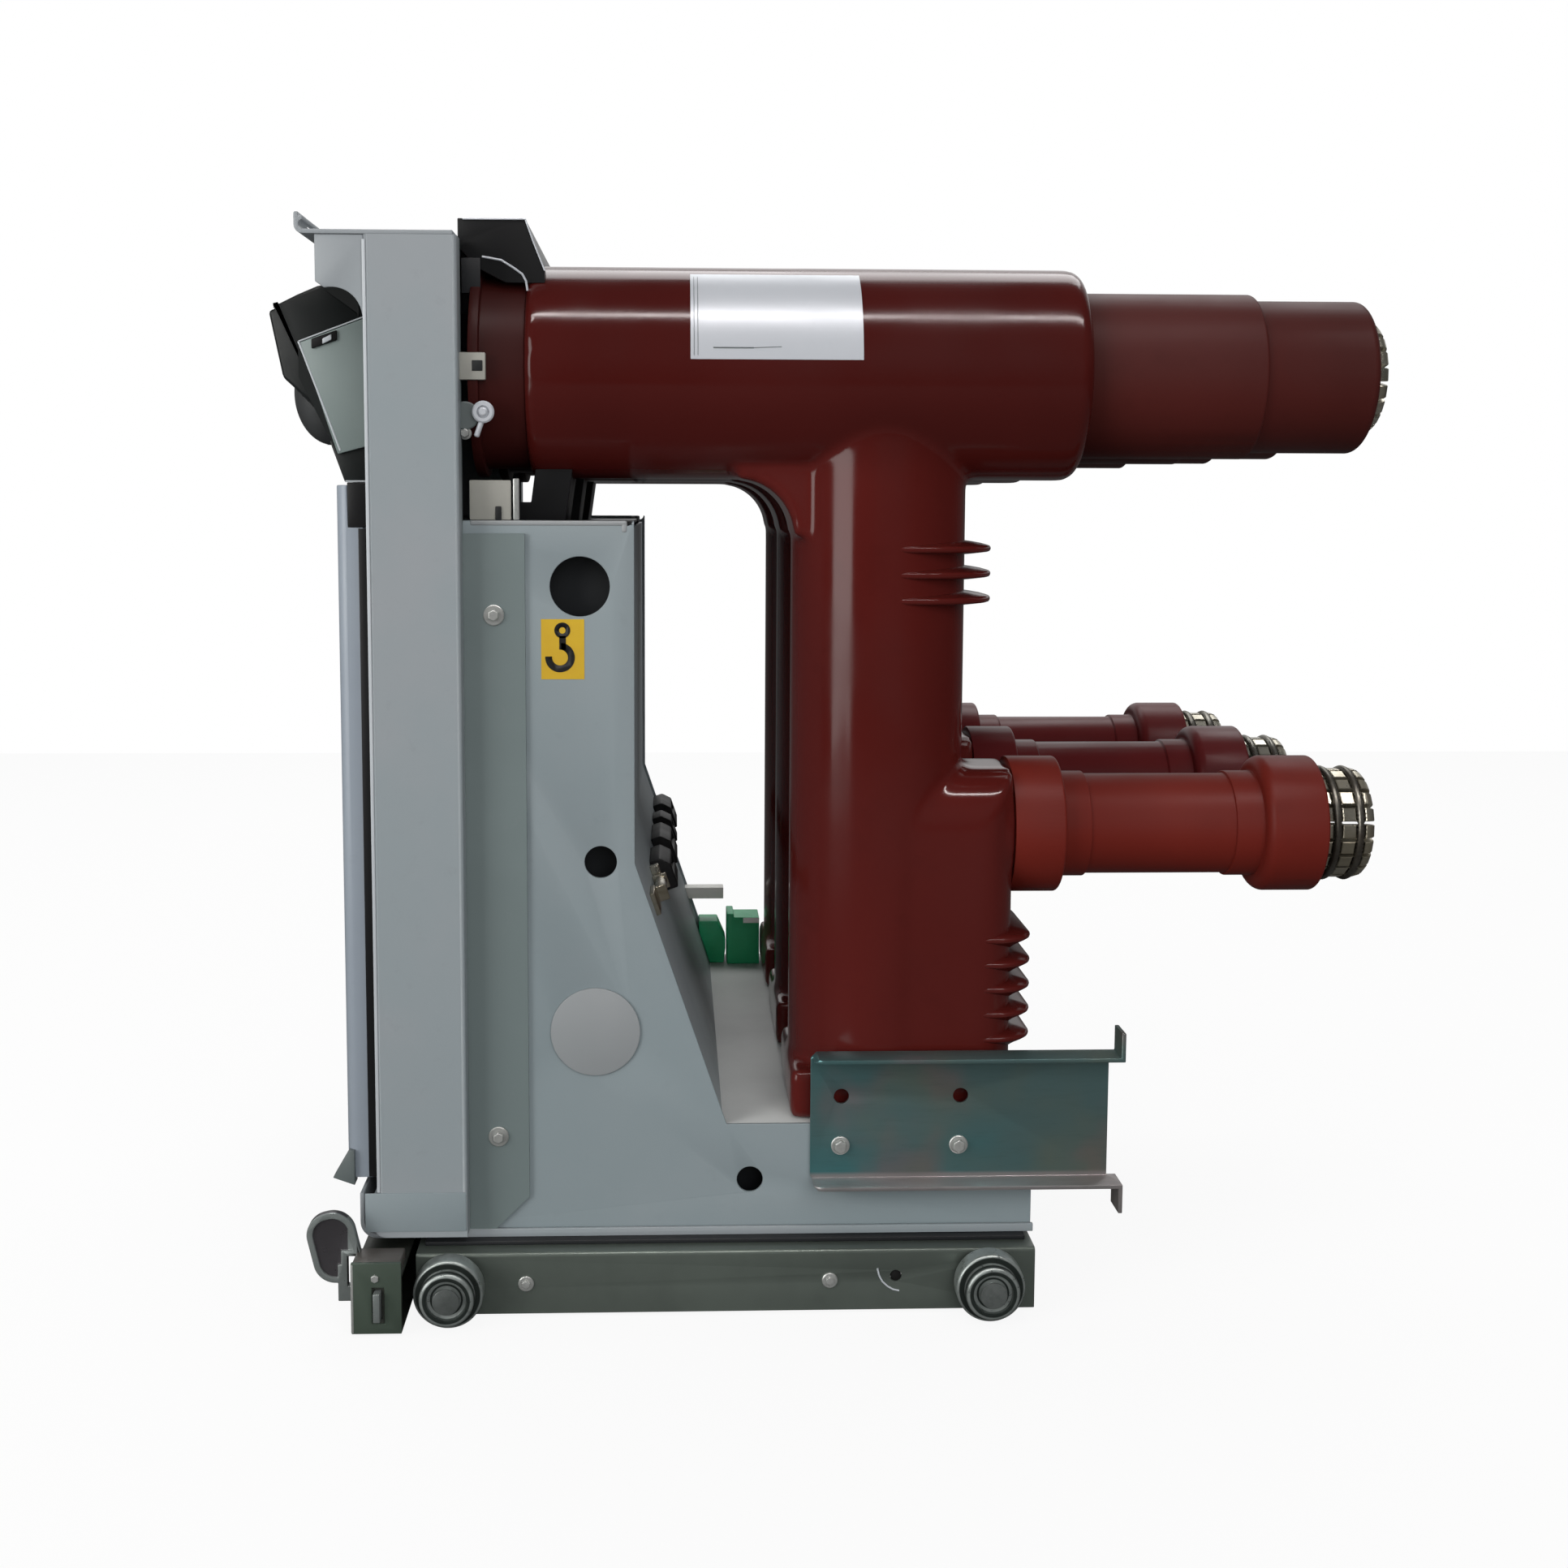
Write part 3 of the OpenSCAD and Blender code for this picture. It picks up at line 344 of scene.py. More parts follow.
def makeCamera():
    data = bpy.data.cameras.new("camera")
    camera = bpy.data.objects.new("camera", data)
    bpy.context.scene.collection.objects.link(camera)
    x, y, z = lens["place"]
    camera.location = (columnFront + x, y, z)
    camera.rotation_euler = [math.radians(a) for a in (90 - lens["tilt"], -lens["roll"], -lens["turn"])]
    across, up = lens["centre"]
    wide = lens["frame"]
    data.sensor_width, data.lens = lens["film"], lens["focal"] / wide * lens["film"]
    data.shift_x, data.shift_y = (wide / 2 - across) / wide, (up - wide / 2) / wide
    bpy.context.scene.camera = camera


lamps = {  # place, what it looks at, width and height in metres, watts, colour
    "keyBox": [(-2.50, -2.10, 0.80), (0.03, -0.15, 0.45), 1.5, 2.6, 60, (1.0, 0.99, 0.97)],
    "tubeStrip": [(0.05, -1.15, 2.35), (0.05, -0.15, 0.55), 2.6, 0.065, 34, (1.0, 0.95, 0.94)],
    "backTop": [(0.10, 1.60, 2.60), (0.10, 0.00, 0.45), 3.0, 1.2, 34, (1.0, 1.0, 1.0)],
    "frontFill": [(0.60, -2.60, 1.20), (0.05, 0.00, 0.30), 2.2, 2.2, 38, (1.0, 1.0, 1.0)],
}


def makeLamps():
    for name, (place, target, width, height, watts, colour) in lamps.items():
        data = bpy.data.lights.new(name, "AREA")
        data.shape, data.size, data.size_y = "RECTANGLE", width, height
        data.energy, data.color = watts, colour
        lamp = bpy.data.objects.new(name, data)
        bpy.context.scene.collection.objects.link(lamp)
        lamp.location = place
        lamp.visible_glossy = name != "frontFill"  # it only brightens matt surfaces
        lamp.visible_diffuse = name != "tubeStrip"  # it only draws the line along the tubes
        lamp.rotation_euler = (Vector(target) - Vector(place)).to_track_quat("-Z", "Y").to_euler()


studio = {  # how bright the surroundings are: from, to, strength there
    "matt": 0.44,  # all round, for matt surfaces
    "depth": (0.3, 0.95, 0.05, 1.0),  # for glossy ones: dim in front of the part, white behind it
    "height": (0.02, 0.24, 0.08, 1.0),  # and dim below the horizon
    "floorDark": 0.10, "floorPale": 0.12, "floorSeen": 0.9, "floorGlow": 0.90,
}


def makeWorld():
    world = bpy.data.worlds.new("studio")
    bpy.context.scene.world = world
    world.use_nodes = True
    sky = NodeTree(world.node_tree)

    def ray(kind):
        return sky.node("ShaderNodeLightPath", output=kind)

    def fade(letter, values):
        where = sky.node("ShaderNodeTexCoord", output="Generated")
        part = sky.node("ShaderNodeSeparateXYZ", {}, {0: where}, letter)
        return sky.node("ShaderNodeMapRange", {}, {0: part, **dict(enumerate(values, 1))})

    shine = fade("Y", studio["depth"]) * fade("Z", studio["height"])
    gloss = sky.node("ShaderNodeMix", {}, {0: ray("Is Glossy Ray"), 2: studio["matt"], 3: shine})
    plain = ray("Is Camera Ray").most(ray("Is Transmission Ray"))
    sky.end(sky.node("ShaderNodeBackground", {}, {0: (1, 1, 1), 1: plain.most(gloss)}),
            "ShaderNodeOutputWorld")


def makeFloor():
    only()
    bpy.ops.mesh.primitive_plane_add(size=4.4, location=(0, 0, -0.0005))
    floor = bpy.context.object
    floor.name = "floor"
    f = Finish("paleFloor")
    seen = f.node("ShaderNodeLightPath", output="Is Camera Ray")
    dark, pale, white = [(studio[key],) * 3 for key in ("floorDark", "floorPale", "floorSeen")]
    matt = f.node("ShaderNodeBsdfDiffuse", {}, {0: f.mix(seen, f.mix(f.noise(1.5, 2), dark, pale), white)})
    glow = f.node("ShaderNodeEmission", {}, {0: (1, 1, 1), 1: 1.0})
    f.end(f.node("ShaderNodeMixShader", {}, {0: seen * studio["floorGlow"], 1: matt, 2: glow}))
    floor.data.materials.append(f.material)


# finishes: a pair each, for the faces and for their rounded edges; the edge one is made brighter, as painted
# highlight on the edges with some wear
def pairOf(name, edgeSheenAndWear, build):  # build(f, lift) fills one material and closes it
    return [build(Finish(name + part), lift) for part, lift in (("", 1.0), ("Edge", edgeSheenAndWear))]


def makePaint(name, colour, drift, rough=0.42, grain=0.00006, edgeSheenAndWear=1.25, metal=0.0, scale=7, spec=0.5):
    def build(f, lift):
        cloud = f.noise(scale, 4, 0.6)
        wide = f.noise(scale * 0.3, 2)
        fine = f.noise(scale * 130, 2, 0.6)
        first = lifted(colour, lift)
        base = f.mix((cloud * 0.6 + wide * 0.4).ramp(0.38, 0.62), first, lifted(drift, lift))
        dust = f.noise(scale * 11, 5, 0.7).ramp(0.58, 0.72, 0, 0.16)
        base = f.mix(dust, base, dimmed(first, 0.8))
        shine = cloud.ramp(0.3, 0.7, rough - 0.05, rough + 0.07)
        return f.close(base, shine, f.bump(fine, grain, 0.5), metal, Specular_IOR_Level=spec)

    return pairOf(name, edgeSheenAndWear, build)


# column coat, and the darker flange coat that is painted shade from the column's shadow
flangeCoat = {"column": ((144, 149, 153), (137, 146, 150)), "flange": ((110, 122, 122), (104, 116, 116)),
              "start": 50, "face": 210, "dust": (120, 126, 128)}


def makeColumnPaint(name):  # painted shade: the bolted flange beside the column is darkened where the column's shadow falls on it
    def build(f, lift):
        cloud = f.noise(7, 4, 0.6)
        behind = f.axis("X") * 1000 - columnFront * 1000
        column, flange = [f.mix(cloud.ramp(0.35, 0.65), *[lifted(c, lift) for c in flangeCoat[key]])
                          for key in ("column", "flange")]
        edge = (f.axis("Y").size() * 1000 - flangeCoat["face"]).ramp(-0.6, 0.6)
        base = f.mix((behind - flangeCoat["start"]).ramp(0, 2.5) * (1 - edge), column, flange)
        base = f.mix(f.noise(77, 5, 0.7).ramp(0.58, 0.72, 0, 0.16), base, tone(*flangeCoat["dust"]))
        return f.close(base, cloud.ramp(0.3, 0.7, 0.37, 0.49), f.bump(f.noise(910, 2), 0.00006, 0.5))

    return pairOf(name, 1.45, build)


def makeResin(name, colour, deep, rough=0.15, spec=0.28, tube=1.0):  # tube below 1 paints shade on the fuse tube, darker than the pole
    def build(f, lift):
        flow = f.noise(5, 3, 0.5, stretch=(1.0, 1.0, 0.45))
        patch = f.noise(11, 3, 0.5)
        first, second = lifted(colour, lift), lifted(deep, lift)
        base = f.mix(flow.ramp(0.35, 0.65), first, second)
        base = f.mix(f.noise(38, 4, 0.65).ramp(0.5, 0.8, 0, 0.25), base, dimmed(second, 0.72))
        # painted shade: above the pole the fuse tube is darkened, as less light reaches it
        if tube < 1:
            dark = f.mix(flow.ramp(0.3, 0.7), dimmed(first, tube), dimmed(second, tube))
            base = f.mix(f.axis("Z").ramp(0.485, 0.53), base, dark)
        shine = patch.ramp(0.3, 0.7, rough - 0.04, rough + 0.07)
        return f.close(base, shine, f.bump(f.noise(300, 2), 0.00002, 0.3), Specular_IOR_Level=spec)

    return pairOf(name, 1.12, build)


def makeMetal(name, colour, deep, rough=0.30, brush=(1, 1, 1), scale=60, metal=0.9):
    def build(f, lift):
        grain = f.noise(scale * 6, 3, 0.6, stretch=brush)
        cloud = f.noise(scale * 0.35, 4, 0.6)
        second = lifted(deep, lift)
        base = f.mix(cloud.ramp(0.35, 0.65), lifted(colour, lift), second)
        base = f.mix(grain.ramp(0.4, 0.75, 0, 0.3), base, dimmed(second, 0.6))
        shine = cloud.ramp(0.3, 0.7, rough - 0.06, rough + 0.12)
        return f.close(base, shine, f.bump(grain, 0.00004, 0.6), metal)

    return pairOf(name, 1.3, build)


chromate = {"teal": (84, 146, 150), "grey": (104, 132, 132), "rose": (146, 126, 130),
            "straw": (138, 136, 112), "lowerFlange": (176, 168, 168)}


def makeZinc(name):  # yellow-blue chromate over zinc
    def build(f, lift):
        film = f.noise(9, 3, 0.55, stretch=(1, 1, 1.6))
        drift = f.axis("X") * 2.0 + f.axis("Z") * 3.0 + film * 0.9
        teal, grey, rose, straw, pale = [lifted(c, lift) for c in chromate.values()]
        base = f.mix(drift.ramp(0.55, 1.0), teal, grey)
        base = f.mix(f.noise(13, 3).ramp(0.50, 0.66, 0, 0.55), base, rose)
        base = f.mix(f.noise(7, 3, 0.6).ramp(0.52, 0.70, 0, 0.5), base, straw)
        bottom = low("shutter_bracket_right")[2]
        base = f.mix(f.axis("Z").ramp(bottom + 0.0185, bottom + 0.0215, 0.85, 0), base, pale)
        grain = f.noise(420, 3, 0.6, stretch=(0.12, 1, 1))
        base = f.mix(grain.ramp(0.45, 0.8, 0, 0.18), base, dimmed(grey, 0.6))
        return f.close(base, film.ramp(0.3, 0.7, 0.30, 0.44), f.bump(grain, 0.00003, 0.5), 0.75)

    return pairOf(name, 2.2, build)


wheelRings = {"axle": 20.3, "dark": (58, 65, 62), "pale": (178, 186, 183),  # height, colours: dark for painted shade in the grooves, pale for painted highlight between them
              "grooves": ((17.3, 1.2, 2.0), (12.6, 0.8, 1.6), (8.9, 0.3, 0.9))}  # radius, half widths


def makeWheelFinish(name, x):  # turned rings about the wheel's axle, with painted shade in the grooves and painted highlight between them
    def build(f, lift):
        centre = tuple(spot(x, 0, wheelRings["axle"]))
        away = f.node("ShaderNodeVectorMath", {"operation": "SUBTRACT"}, {0: f.spot, 1: centre})
        flat = f.node("ShaderNodeVectorMath", {"operation": "MULTIPLY"}, {0: away, 1: (1, 0, 1)})
        radius = f.node("ShaderNodeVectorMath", {"operation": "LENGTH"}, {0: flat}, "Value") * 1000
        grime = f.noise(160, 4, 0.7)
        grooveShadeAndGrime = grime.ramp(0.2, 0.6, 0.6, 1)
        for groove, inner, outer in wheelRings["grooves"]:
            grooveShadeAndGrime = grooveShadeAndGrime * (radius - groove).size().ramp(inner, outer)
        base = f.mix(grooveShadeAndGrime, lifted(wheelRings["dark"], lift), lifted(wheelRings["pale"], lift))
        turning = f.node("ShaderNodeTexNoise", {"noise_dimensions": "1D"}, {"W": radius * 6.0, "Detail": 2})
        return f.close(base, grime.ramp(0.3, 0.7, 0.26, 0.42), f.bump(turning, 0.00005, 0.6), 0.72)

    return pairOf(name, 1.9, build)


handleRims = {"middle": 232, "hollow": (1.55, 2.2), "front": -16.2, "pale": (158, 165, 163),
              "worn": (122, 129, 128), "deep": (72, 68, 72)}


def makeHandleFinish(name):  # bright rims, a dark recess between them
    h = handleRims

    def build(f, lift):
        side = f.axis("Y").size() * 1000
        front = f.axis("X") * 1000
        hollow = (side - h["middle"]).size().ramp(*h["hollow"], 1, 0)
        hollow = hollow * (front < columnFront * 1000 + h["front"])
        wear = f.noise(120, 4, 0.65)
        rim = f.mix(wear, lifted(h["pale"], lift), lifted(h["worn"], lift))
        base = f.mix(hollow * 0.94, rim, tone(*h["deep"]))
        return f.close(base, wear.ramp(0.3, 0.7, 0.26, 0.42), f.bump(wear, 0.00008, 0.5), 0.6)

    return pairOf(name, 1.7, build)


finishes = {  # colour, drift to, roughness, grain depth, edge lift (painted highlight on rounded edges, with some wear), metal, scale of the clouds
    "column": makeColumnPaint("columnCoat"),
    "wheelFront": makeWheelFinish("wheelRingsFront", 42.4),
    "wheelRear": makeWheelFinish("wheelRingsRear", 359.2),
    "handle": makeHandleFinish("handleRims"),
    "grey": makePaint("greyCoat", (144, 149, 153), (137, 146, 150), edgeSheenAndWear=1.45),
    "greyPlate": makePaint("greyCoatPlate", (133, 143, 147), (127, 139, 143), edgeSheenAndWear=1.45),
    "greyCool": makePaint("greyCoatCool", (150, 159, 169), (143, 152, 163), 0.38, edgeSheenAndWear=1.4),
    "plug": makePaint("paleCoat", (146, 149, 151), (138, 142, 144)),
    # painted light: the deck's coat is far brighter than the grey coat, standing in for light in its shaded
    # hollow
    "greyDeckLit": makePaint("greyCoatDeckLit", (196, 198, 196), (186, 188, 187)),
    "greyDark": makePaint("greyCoatShade", (96, 104, 104), (84, 92, 92)),
    # painted light: a brightened copy of the grey coat for the rear cover's shaded slope
    "greySlopeLit": makePaint("greyCoatSlopeLit", (152, 161, 164), (143, 152, 156)),
    "clip": makePaint("clipPlastic", (24, 24, 25), (18, 18, 19), 0.5, 0.0001, 1.5, 0.0, 20, 0.2),
    "barPale": makePaint("barMould", (232, 232, 226), (222, 222, 216), 0.5, 0.0001, 1.1, 0.0, 20),
    # a pale coat, mostly for lines of painted highlight along edges
    "bead": makePaint("coatPaleHighlight", (186, 191, 195), (178, 183, 188), 0.36),
    # painted shade: a near-black coat for insides and gaps where the light doesn't reach
    "inside": makePaint("housingInsideShade", (28, 30, 33), (22, 24, 27), 0.6),
    "black": makePaint("blackCoat", (27, 27, 28), (20, 20, 22), 0.36, 0.00005, 3.2, spec=0.3),
    "plastic": makePaint("blackPlastic", (33, 35, 36), (26, 27, 29), 0.45, 0.00015, 2.4, 0.0, 20),
    "boot": makePaint("darkRubber", (58, 60, 61), (46, 48, 49), 0.6, 0.0002, 1.4, 0.0, 20),
    "steel": makePaint("darkSteel", (110, 119, 112), (96, 104, 98), 0.34, 0.00005, 1.6, 0.55, 12),
    # painted light: the green is brighter than the plastic's own, for blocks that stand in shade
    "green": makePaint("greenPlastic", (46, 172, 118), (36, 154, 102), 0.4, 0.0001, 1.6, 0.0, 20),
    "greyEdge": makePaint("greyCoatBright", (126, 138, 136), (116, 129, 127), 0.4, edgeSheenAndWear=2.4),
    "plugBody": makePaint("plugMould", (25, 29, 29), (19, 22, 22), 0.42, 0.0001, 2.4, 0.0, 20, 0.35),
    "label": makePaint("bareLabel", (192, 195, 201), (183, 187, 193), 0.34, 0.00002, 1.3, 0.2, 9),
    # painted shade: the crossbeam's steel is darkened for the shade it stands in
    "beamShaded": makePaint("beamSteelShaded", (60, 63, 58), (51, 54, 50), 0.4, 0.00005, 1.5, 0.4, 12),
    "beamGreen": makePaint("beamEndSteel", (78, 90, 80), (68, 80, 70), 0.36, 0.00005, 1.5, 0.3, 12),
    "beamTop": makePaint("brownSteel", (96, 92, 88), (84, 82, 78), 0.4, 0.00005, 1.6, 0.3, 14),
    "beige": makePaint("beigePlastic", (158, 156, 148), (146, 145, 138), 0.5, 0.0001, 1.2, 0.0, 20),
    "yellow": makePaint("yellowFoil", (204, 166, 22), (196, 156, 16), 0.4, 0.00002, 1.2, 0.0, 25),
    "ink": makePaint("blackInk", (22, 20, 20), (16, 15, 15), 0.5, 0.00002, 1.2, 0.0, 25),
    "resin": makeResin("redResin", (86, 27, 24), (76, 23, 20), tube=0.66),
    "resinSleeve": makeResin("redResinSleeve", (74, 29, 26), (65, 25, 22), 0.46, 0.12),
    "resinArm": makeResin("redResinArm", (116, 38, 28), (101, 32, 25), 0.42, 0.12),
    # painted shade: the far contact arms get a darker copy of the arm resin
    "resinArmShaded": makeResin("redResinArmShaded", (91, 28, 29), (79, 24, 26), 0.32, 0.18),
    # painted shadow: the fuse caps lie in the shadow of the hood and column, so their resin is darkened
    "resinShadowed": makeResin("redResinShadowed", (58, 22, 20), (38, 14, 14), 0.45, 0.1),
    "silver": makeMetal("silveredCopper", (206, 202, 188), (168, 160, 140), 0.26, (0.2, 1, 1)),
    "bright": makeMetal("brightSteel", (212, 214, 211), (190, 192, 189), 0.36, metal=0.7),
    "spring": makeMetal("springSteel", (150, 148, 140), (96, 90, 82), 0.32),
    "wheel": makeMetal("turnedSteel", (142, 148, 146), (112, 118, 116), 0.34, scale=40, metal=0.75),
    "zinc": makeZinc("zincChromate"),
}
print("finishes made:", len(finishes))


# CAD pieces that keep their shape, with their edges rounded
nodeFinish = {  # by the start of the node's name; the longest that fits counts
    "side_plate": "greyPlate", "base_tray": "grey", "deck": "greyDeckLit", "rear_cover": "greySlopeLit",
    "top_cover": "black", "hole_plugs": "plug", "column": "column", "front_cover": "greyCool",
    "front_cap": "black", "front_panel": "greyDark", "top_lip": "grey", "lip_cheeks": "grey",
    "hood": "black", "tube_supports": "black", "fuse_cap": "resinShadowed", "upper_sleeve": "resinSleeve",
    "contact_arm": "resinArmShaded", "contact_arm_right": "resinArm", "shutter_bracket": "zinc",
    "linkage": "silver", "link_clips": "clip", "indicator_bar": "barPale", "deck_insulators": "green",
    # chassis_plate takes the near-black inside coat: painted shadow under the tray's lip
    "rail": "steel", "chassis_plate": "inside", "nut_bar": "steel", "axle_pins": "wheel",
    "wheel_front": "wheelFront", "wheel_rear": "wheelRear", "crossbeam": "beamShaded",
    "guide_rods": "bright", "lead_screw": "bright", "tongue": "handle", "plug_bracket": "greyEdge",
    "control_plug": "plugBody", "plug_boot": "boot",
}
edgeWidth = {"control_plug": 2.0, "plug_boot": 1.0, "deck_insulators": 0.8, "contact_arm": 1.0,
             "fuse_cap": 0.8, "upper_sleeve": 0.8, "column": 0, "front_cover": 0.7, "link_clips": 1.0}
plainEdge = 0.5
rebuilt = ("pole_", "upper_contact", "lower_contact")
lipGap = {"inset": 24, "ahead": 1, "below": 5.6, "deep": 4.2, "tall": 8}


def refined(node, finish, width):
    piece = nodes[node].copy()
    piece.data = nodes[node].data.copy()
    bpy.context.scene.collection.objects.link(piece)
    rename(piece, node + "_finished")
    only(piece)
    bpy.ops.object.mode_set(mode="EDIT")
    bpy.ops.mesh.select_all(action="SELECT")
    bpy.ops.mesh.remove_doubles(threshold=0.00002)
    bpy.ops.mesh.dissolve_limited(angle_limit=math.radians(0.5))
    bpy.ops.object.mode_set(mode="OBJECT")
    for key in list(piece.keys()):
        del piece[key]
    if width:
        piece.data.materials.clear()
        piece.data.materials.append(None)
        piece.data.materials.append(None)
        soften(piece, width, edgeSlot=1)
    else:
        smoothShade(32)
    return dress(piece, bodyOfNode[node], slotOf[node], finishes[finish], node)


def finishSheetMetal():
    for node in nodes:
        if node.startswith(rebuilt):
            continue
        kind = next(k for k in sorted(nodeFinish, key=len, reverse=True) if node.startswith(k))
        piece = refined(node, nodeFinish[kind], edgeWidth.get(kind, plainEdge))
        if node == "top_lip":  # the upright fold stands at both ends only
            front = (low(node)[0] - columnFront) * 1000 - lipGap["ahead"]
            half, bottom = columnFace - lipGap["inset"], high(node)[2] * 1000 - lipGap["below"]
            size = (lipGap["deep"], 2 * half, lipGap["tall"])
            cutAway(piece, block("gap", (front, -half, bottom), size, 0))
    print("CAD pieces refined")


# pole castings: body, round sheds under the fuse tube, block sheds at the back
pole = {"axis": 298, "radius": 53, "tube": 63, "tubeStart": 88, "tubeEnd": 417, "saddle": 34,
        "webFront": 211, "webTop": 458, "seat": 42, "blockRear": 379, "blockWidth": 100, "blockTop": 318,
        "corner": 24, "topCorner": 32, "foot": 30, "footFront": 54.5, "deck": 108, "grain": 2.5,
        "upperSheds": 3, "firstUpper": 0.46, "lowerSheds": 5, "firstLower": 48, "pitch": 15.2,
        "roundAxis": 314, "blockAxis": 367, "shedWide": 25.4, "shedDeep": 69}
roundRim = [(-3.7, 37), (-3.2, 42), (-2.6, 47), (-2.1, 51), (-1.7, 52.2), (-0.9, 52.8), (0, 53),
            (0.9, 52.8), (1.7, 52.1), (2.1, 51), (3.2, 47), (4.1, 42), (4.8, 37)]
blockRim = [(-8.4, 12), (-6.2, 14.8), (-4.3, 17.8), (-2.8, 20.6), (-1.9, 22.2), (-0.9, 23.7), (0, 24),
            (0.9, 23.8), (1.8, 22.8), (2.5, 20.6), (3.4, 17.4), (4.1, 14.4), (4.6, 12)]


def castBody():
    p = pole
    half, length, r = p["blockWidth"] / 2, p["blockRear"] - p["axis"], p["tube"]
    start, end = p["tubeStart"], p["tubeEnd"]
    tube = turnedPiece("tube", spot(0, 0, upperAxis), (1, 0, 0),
                       [(start, r - 3), (start + 1, r - 1), (start + 3, r), (end - 8, r), (end - 5, r - 0.6),
                        (end - 2.3, r - 2.3), (end - 0.6, r - 5), (end, r - 8)], 96)
    column = turnedPiece("column", spot(p["axis"], 0, 0), (0, 0, 1),
                         [(p["deck"], p["radius"]), (upperAxis, p["radius"])], 96)
    web = block("web", (p["webFront"], -32, p["webTop"]), (60, 64, 65), 0)
    cutAway(web, turnedPiece("arch", spot(p["webFront"], -60, p["webTop"]), (0, 1, 0),
                             [(0, p["saddle"]), (120, p["saddle"])], 64))
    rear, top = columnFront + p["blockRear"] / 1000 - 0.0001, p["blockTop"] / 1000 - 0.0001
    tall = p["blockTop"] - p["deck"]
    section = block("section", (p["axis"] - 1, -half, p["deck"] - 1), (length + 3, 2 * half, tall + 1), 0)
    plan = block("plan", (p["axis"], -half, p["deck"]), (length, 2 * half, tall + 4), 0)
    for side in (-1, 1):
        bevelEdges(section, lambda co: co.z > top and co.y * side > 0, p["topCorner"], 10)
        bevelEdges(plan, lambda co: co.x > rear and co.y * side > 0, p["corner"], 8)
    seat = turnedPiece("seat", spot(p["axis"], 0, lowerAxis), (1, 0, 0),
                       [(0, p["seat"]), (length, p["seat"])], 72)
    for piece in (plan, seat):
        combine(piece, section, "INTERSECT")
    bpy.data.objects.remove(section)
    foot = block("foot", (p["axis"] - p["footFront"], -half, p["deck"]), (63, 2 * half, p["foot"]), 3, 3)
    body = joined("castBody", tube, column, web, plan, seat, foot)
    for kind, settings in (("REMESH", {"mode": "VOXEL", "voxel_size": p["grain"] / 1000}),
                           ("SMOOTH", {"factor": 0.5, "iterations": 9})):
        change = body.modifiers.new(kind, kind)
        for key, value in settings.items():
            setattr(change, key, value)
        bpy.ops.object.modifier_apply(modifier=kind)
    bpy.ops.object.shade_smooth()
    return body


def roundShed(height):
    return turnedPiece("shed", spot(pole["roundAxis"], 0, height), (0, 0, 1), roundRim, 80, 60)


def blockShed(height):
    shed = turnedPiece("shed", (0, 0, 0), (0, 0, 1), blockRim, 66, 60)
    for side in (-1, 1):
        pull(shed, lambda co: co.y * side > 0, (0, side * pole["shedWide"], 0))
    pull(shed, lambda co: co.x < 0, (-pole["shedDeep"], 0, 0))
    shed.location = spot(pole["blockAxis"], 0, height)
    return settle(shed)


def makePoles():
    p = pole
    parts = [castBody()]
    parts += [roundShed(p["webTop"] - p["pitch"] * (i + p["firstUpper"])) for i in range(p["upperSheds"])]
    parts += [blockShed(p["deck"] + p["firstLower"] + p["pitch"] * i) for i in range(p["lowerSheds"])]
    master = joined("poleMaster", *parts)
    for phase, y in phaseY.items():
        casting = twin(master, "pole_casting_" + phase, (0, y / 1000, 0))
        dress(casting, "truck", "red_resin", finishes["resin"][:1], "pole_" + phase)
    bpy.data.objects.remove(master)
    print("poles cast")


# ring contacts: sprung fingers held by two coil springs
contact = {"fingers": 20, "wide": 8.2, "narrow": 0.60, "inner": 19.6, "outer": 33.8, "length": 48,
           "noseOuter": 4.5, "noseInner": 3, "springs": (-9.5, -23.5), "wire": 2.6, "coils": 168,
           "groove": 3.1, "grooveDeep": 3.2, "upper": (upperAxis, 599), "lower": (lowerAxis, 601)}
hubSteps = [(-56, 15), (-56, 20), (-48, 20), (-46, 19), (-46, 8)]
rootSteps = [(-51, 26), (-51, 33), (-48, 33), (-45.5, 32), (-45.5, 26)]


def makeFinger():
    c = contact
    only()
    tall = c["outer"] - c["inner"]
    middle = (-c["length"] / 2000, 0, (c["inner"] + tall / 2) / 1000)
    bpy.ops.mesh.primitive_cube_add(size=1, location=middle)
    finger = bpy.context.object
    finger.scale = (c["length"] / 1000, c["wide"] / 1000, tall / 1000)
    settle(finger, "finger")
    pick(finger, lambda co: co.z < (c["inner"] + tall / 2) / 1000)
    bpy.ops.transform.resize(value=(1, c["narrow"], 1), center_override=(0, 0, 0))
    for x in c["springs"]:
        for side in (-c["groove"], c["groove"]):
            bpy.ops.mesh.select_all(action="SELECT")
            bpy.ops.mesh.bisect(plane_co=((x + side) / 1000, 0, 0), plane_no=(1, 0, 0))
    bpy.ops.object.mode_set(mode="OBJECT")
    inner, outer = c["inner"] / 1000 + 0.0002, c["outer"] / 1000 - 0.0002

    def inGroove(co):
        return co.z > outer and any(abs(co.x * 1000 - x) < 1 for x in c["springs"])

    pick(finger, inGroove, "FACE")
    bpy.ops.mesh.extrude_region_move(TRANSFORM_OT_translate={"value": (0, 0, -c["grooveDeep"] / 1000)})
    bpy.ops.object.mode_set(mode="OBJECT")
    bevelEdges(finger, lambda co: co.x > -0.0001 and co.z > outer, c["noseOuter"], 3)
    bevelEdges(finger, lambda co: co.x > -0.0001 and co.z < inner, c["noseInner"], 2)
    return soften(finger, 0.45, 1, 40)


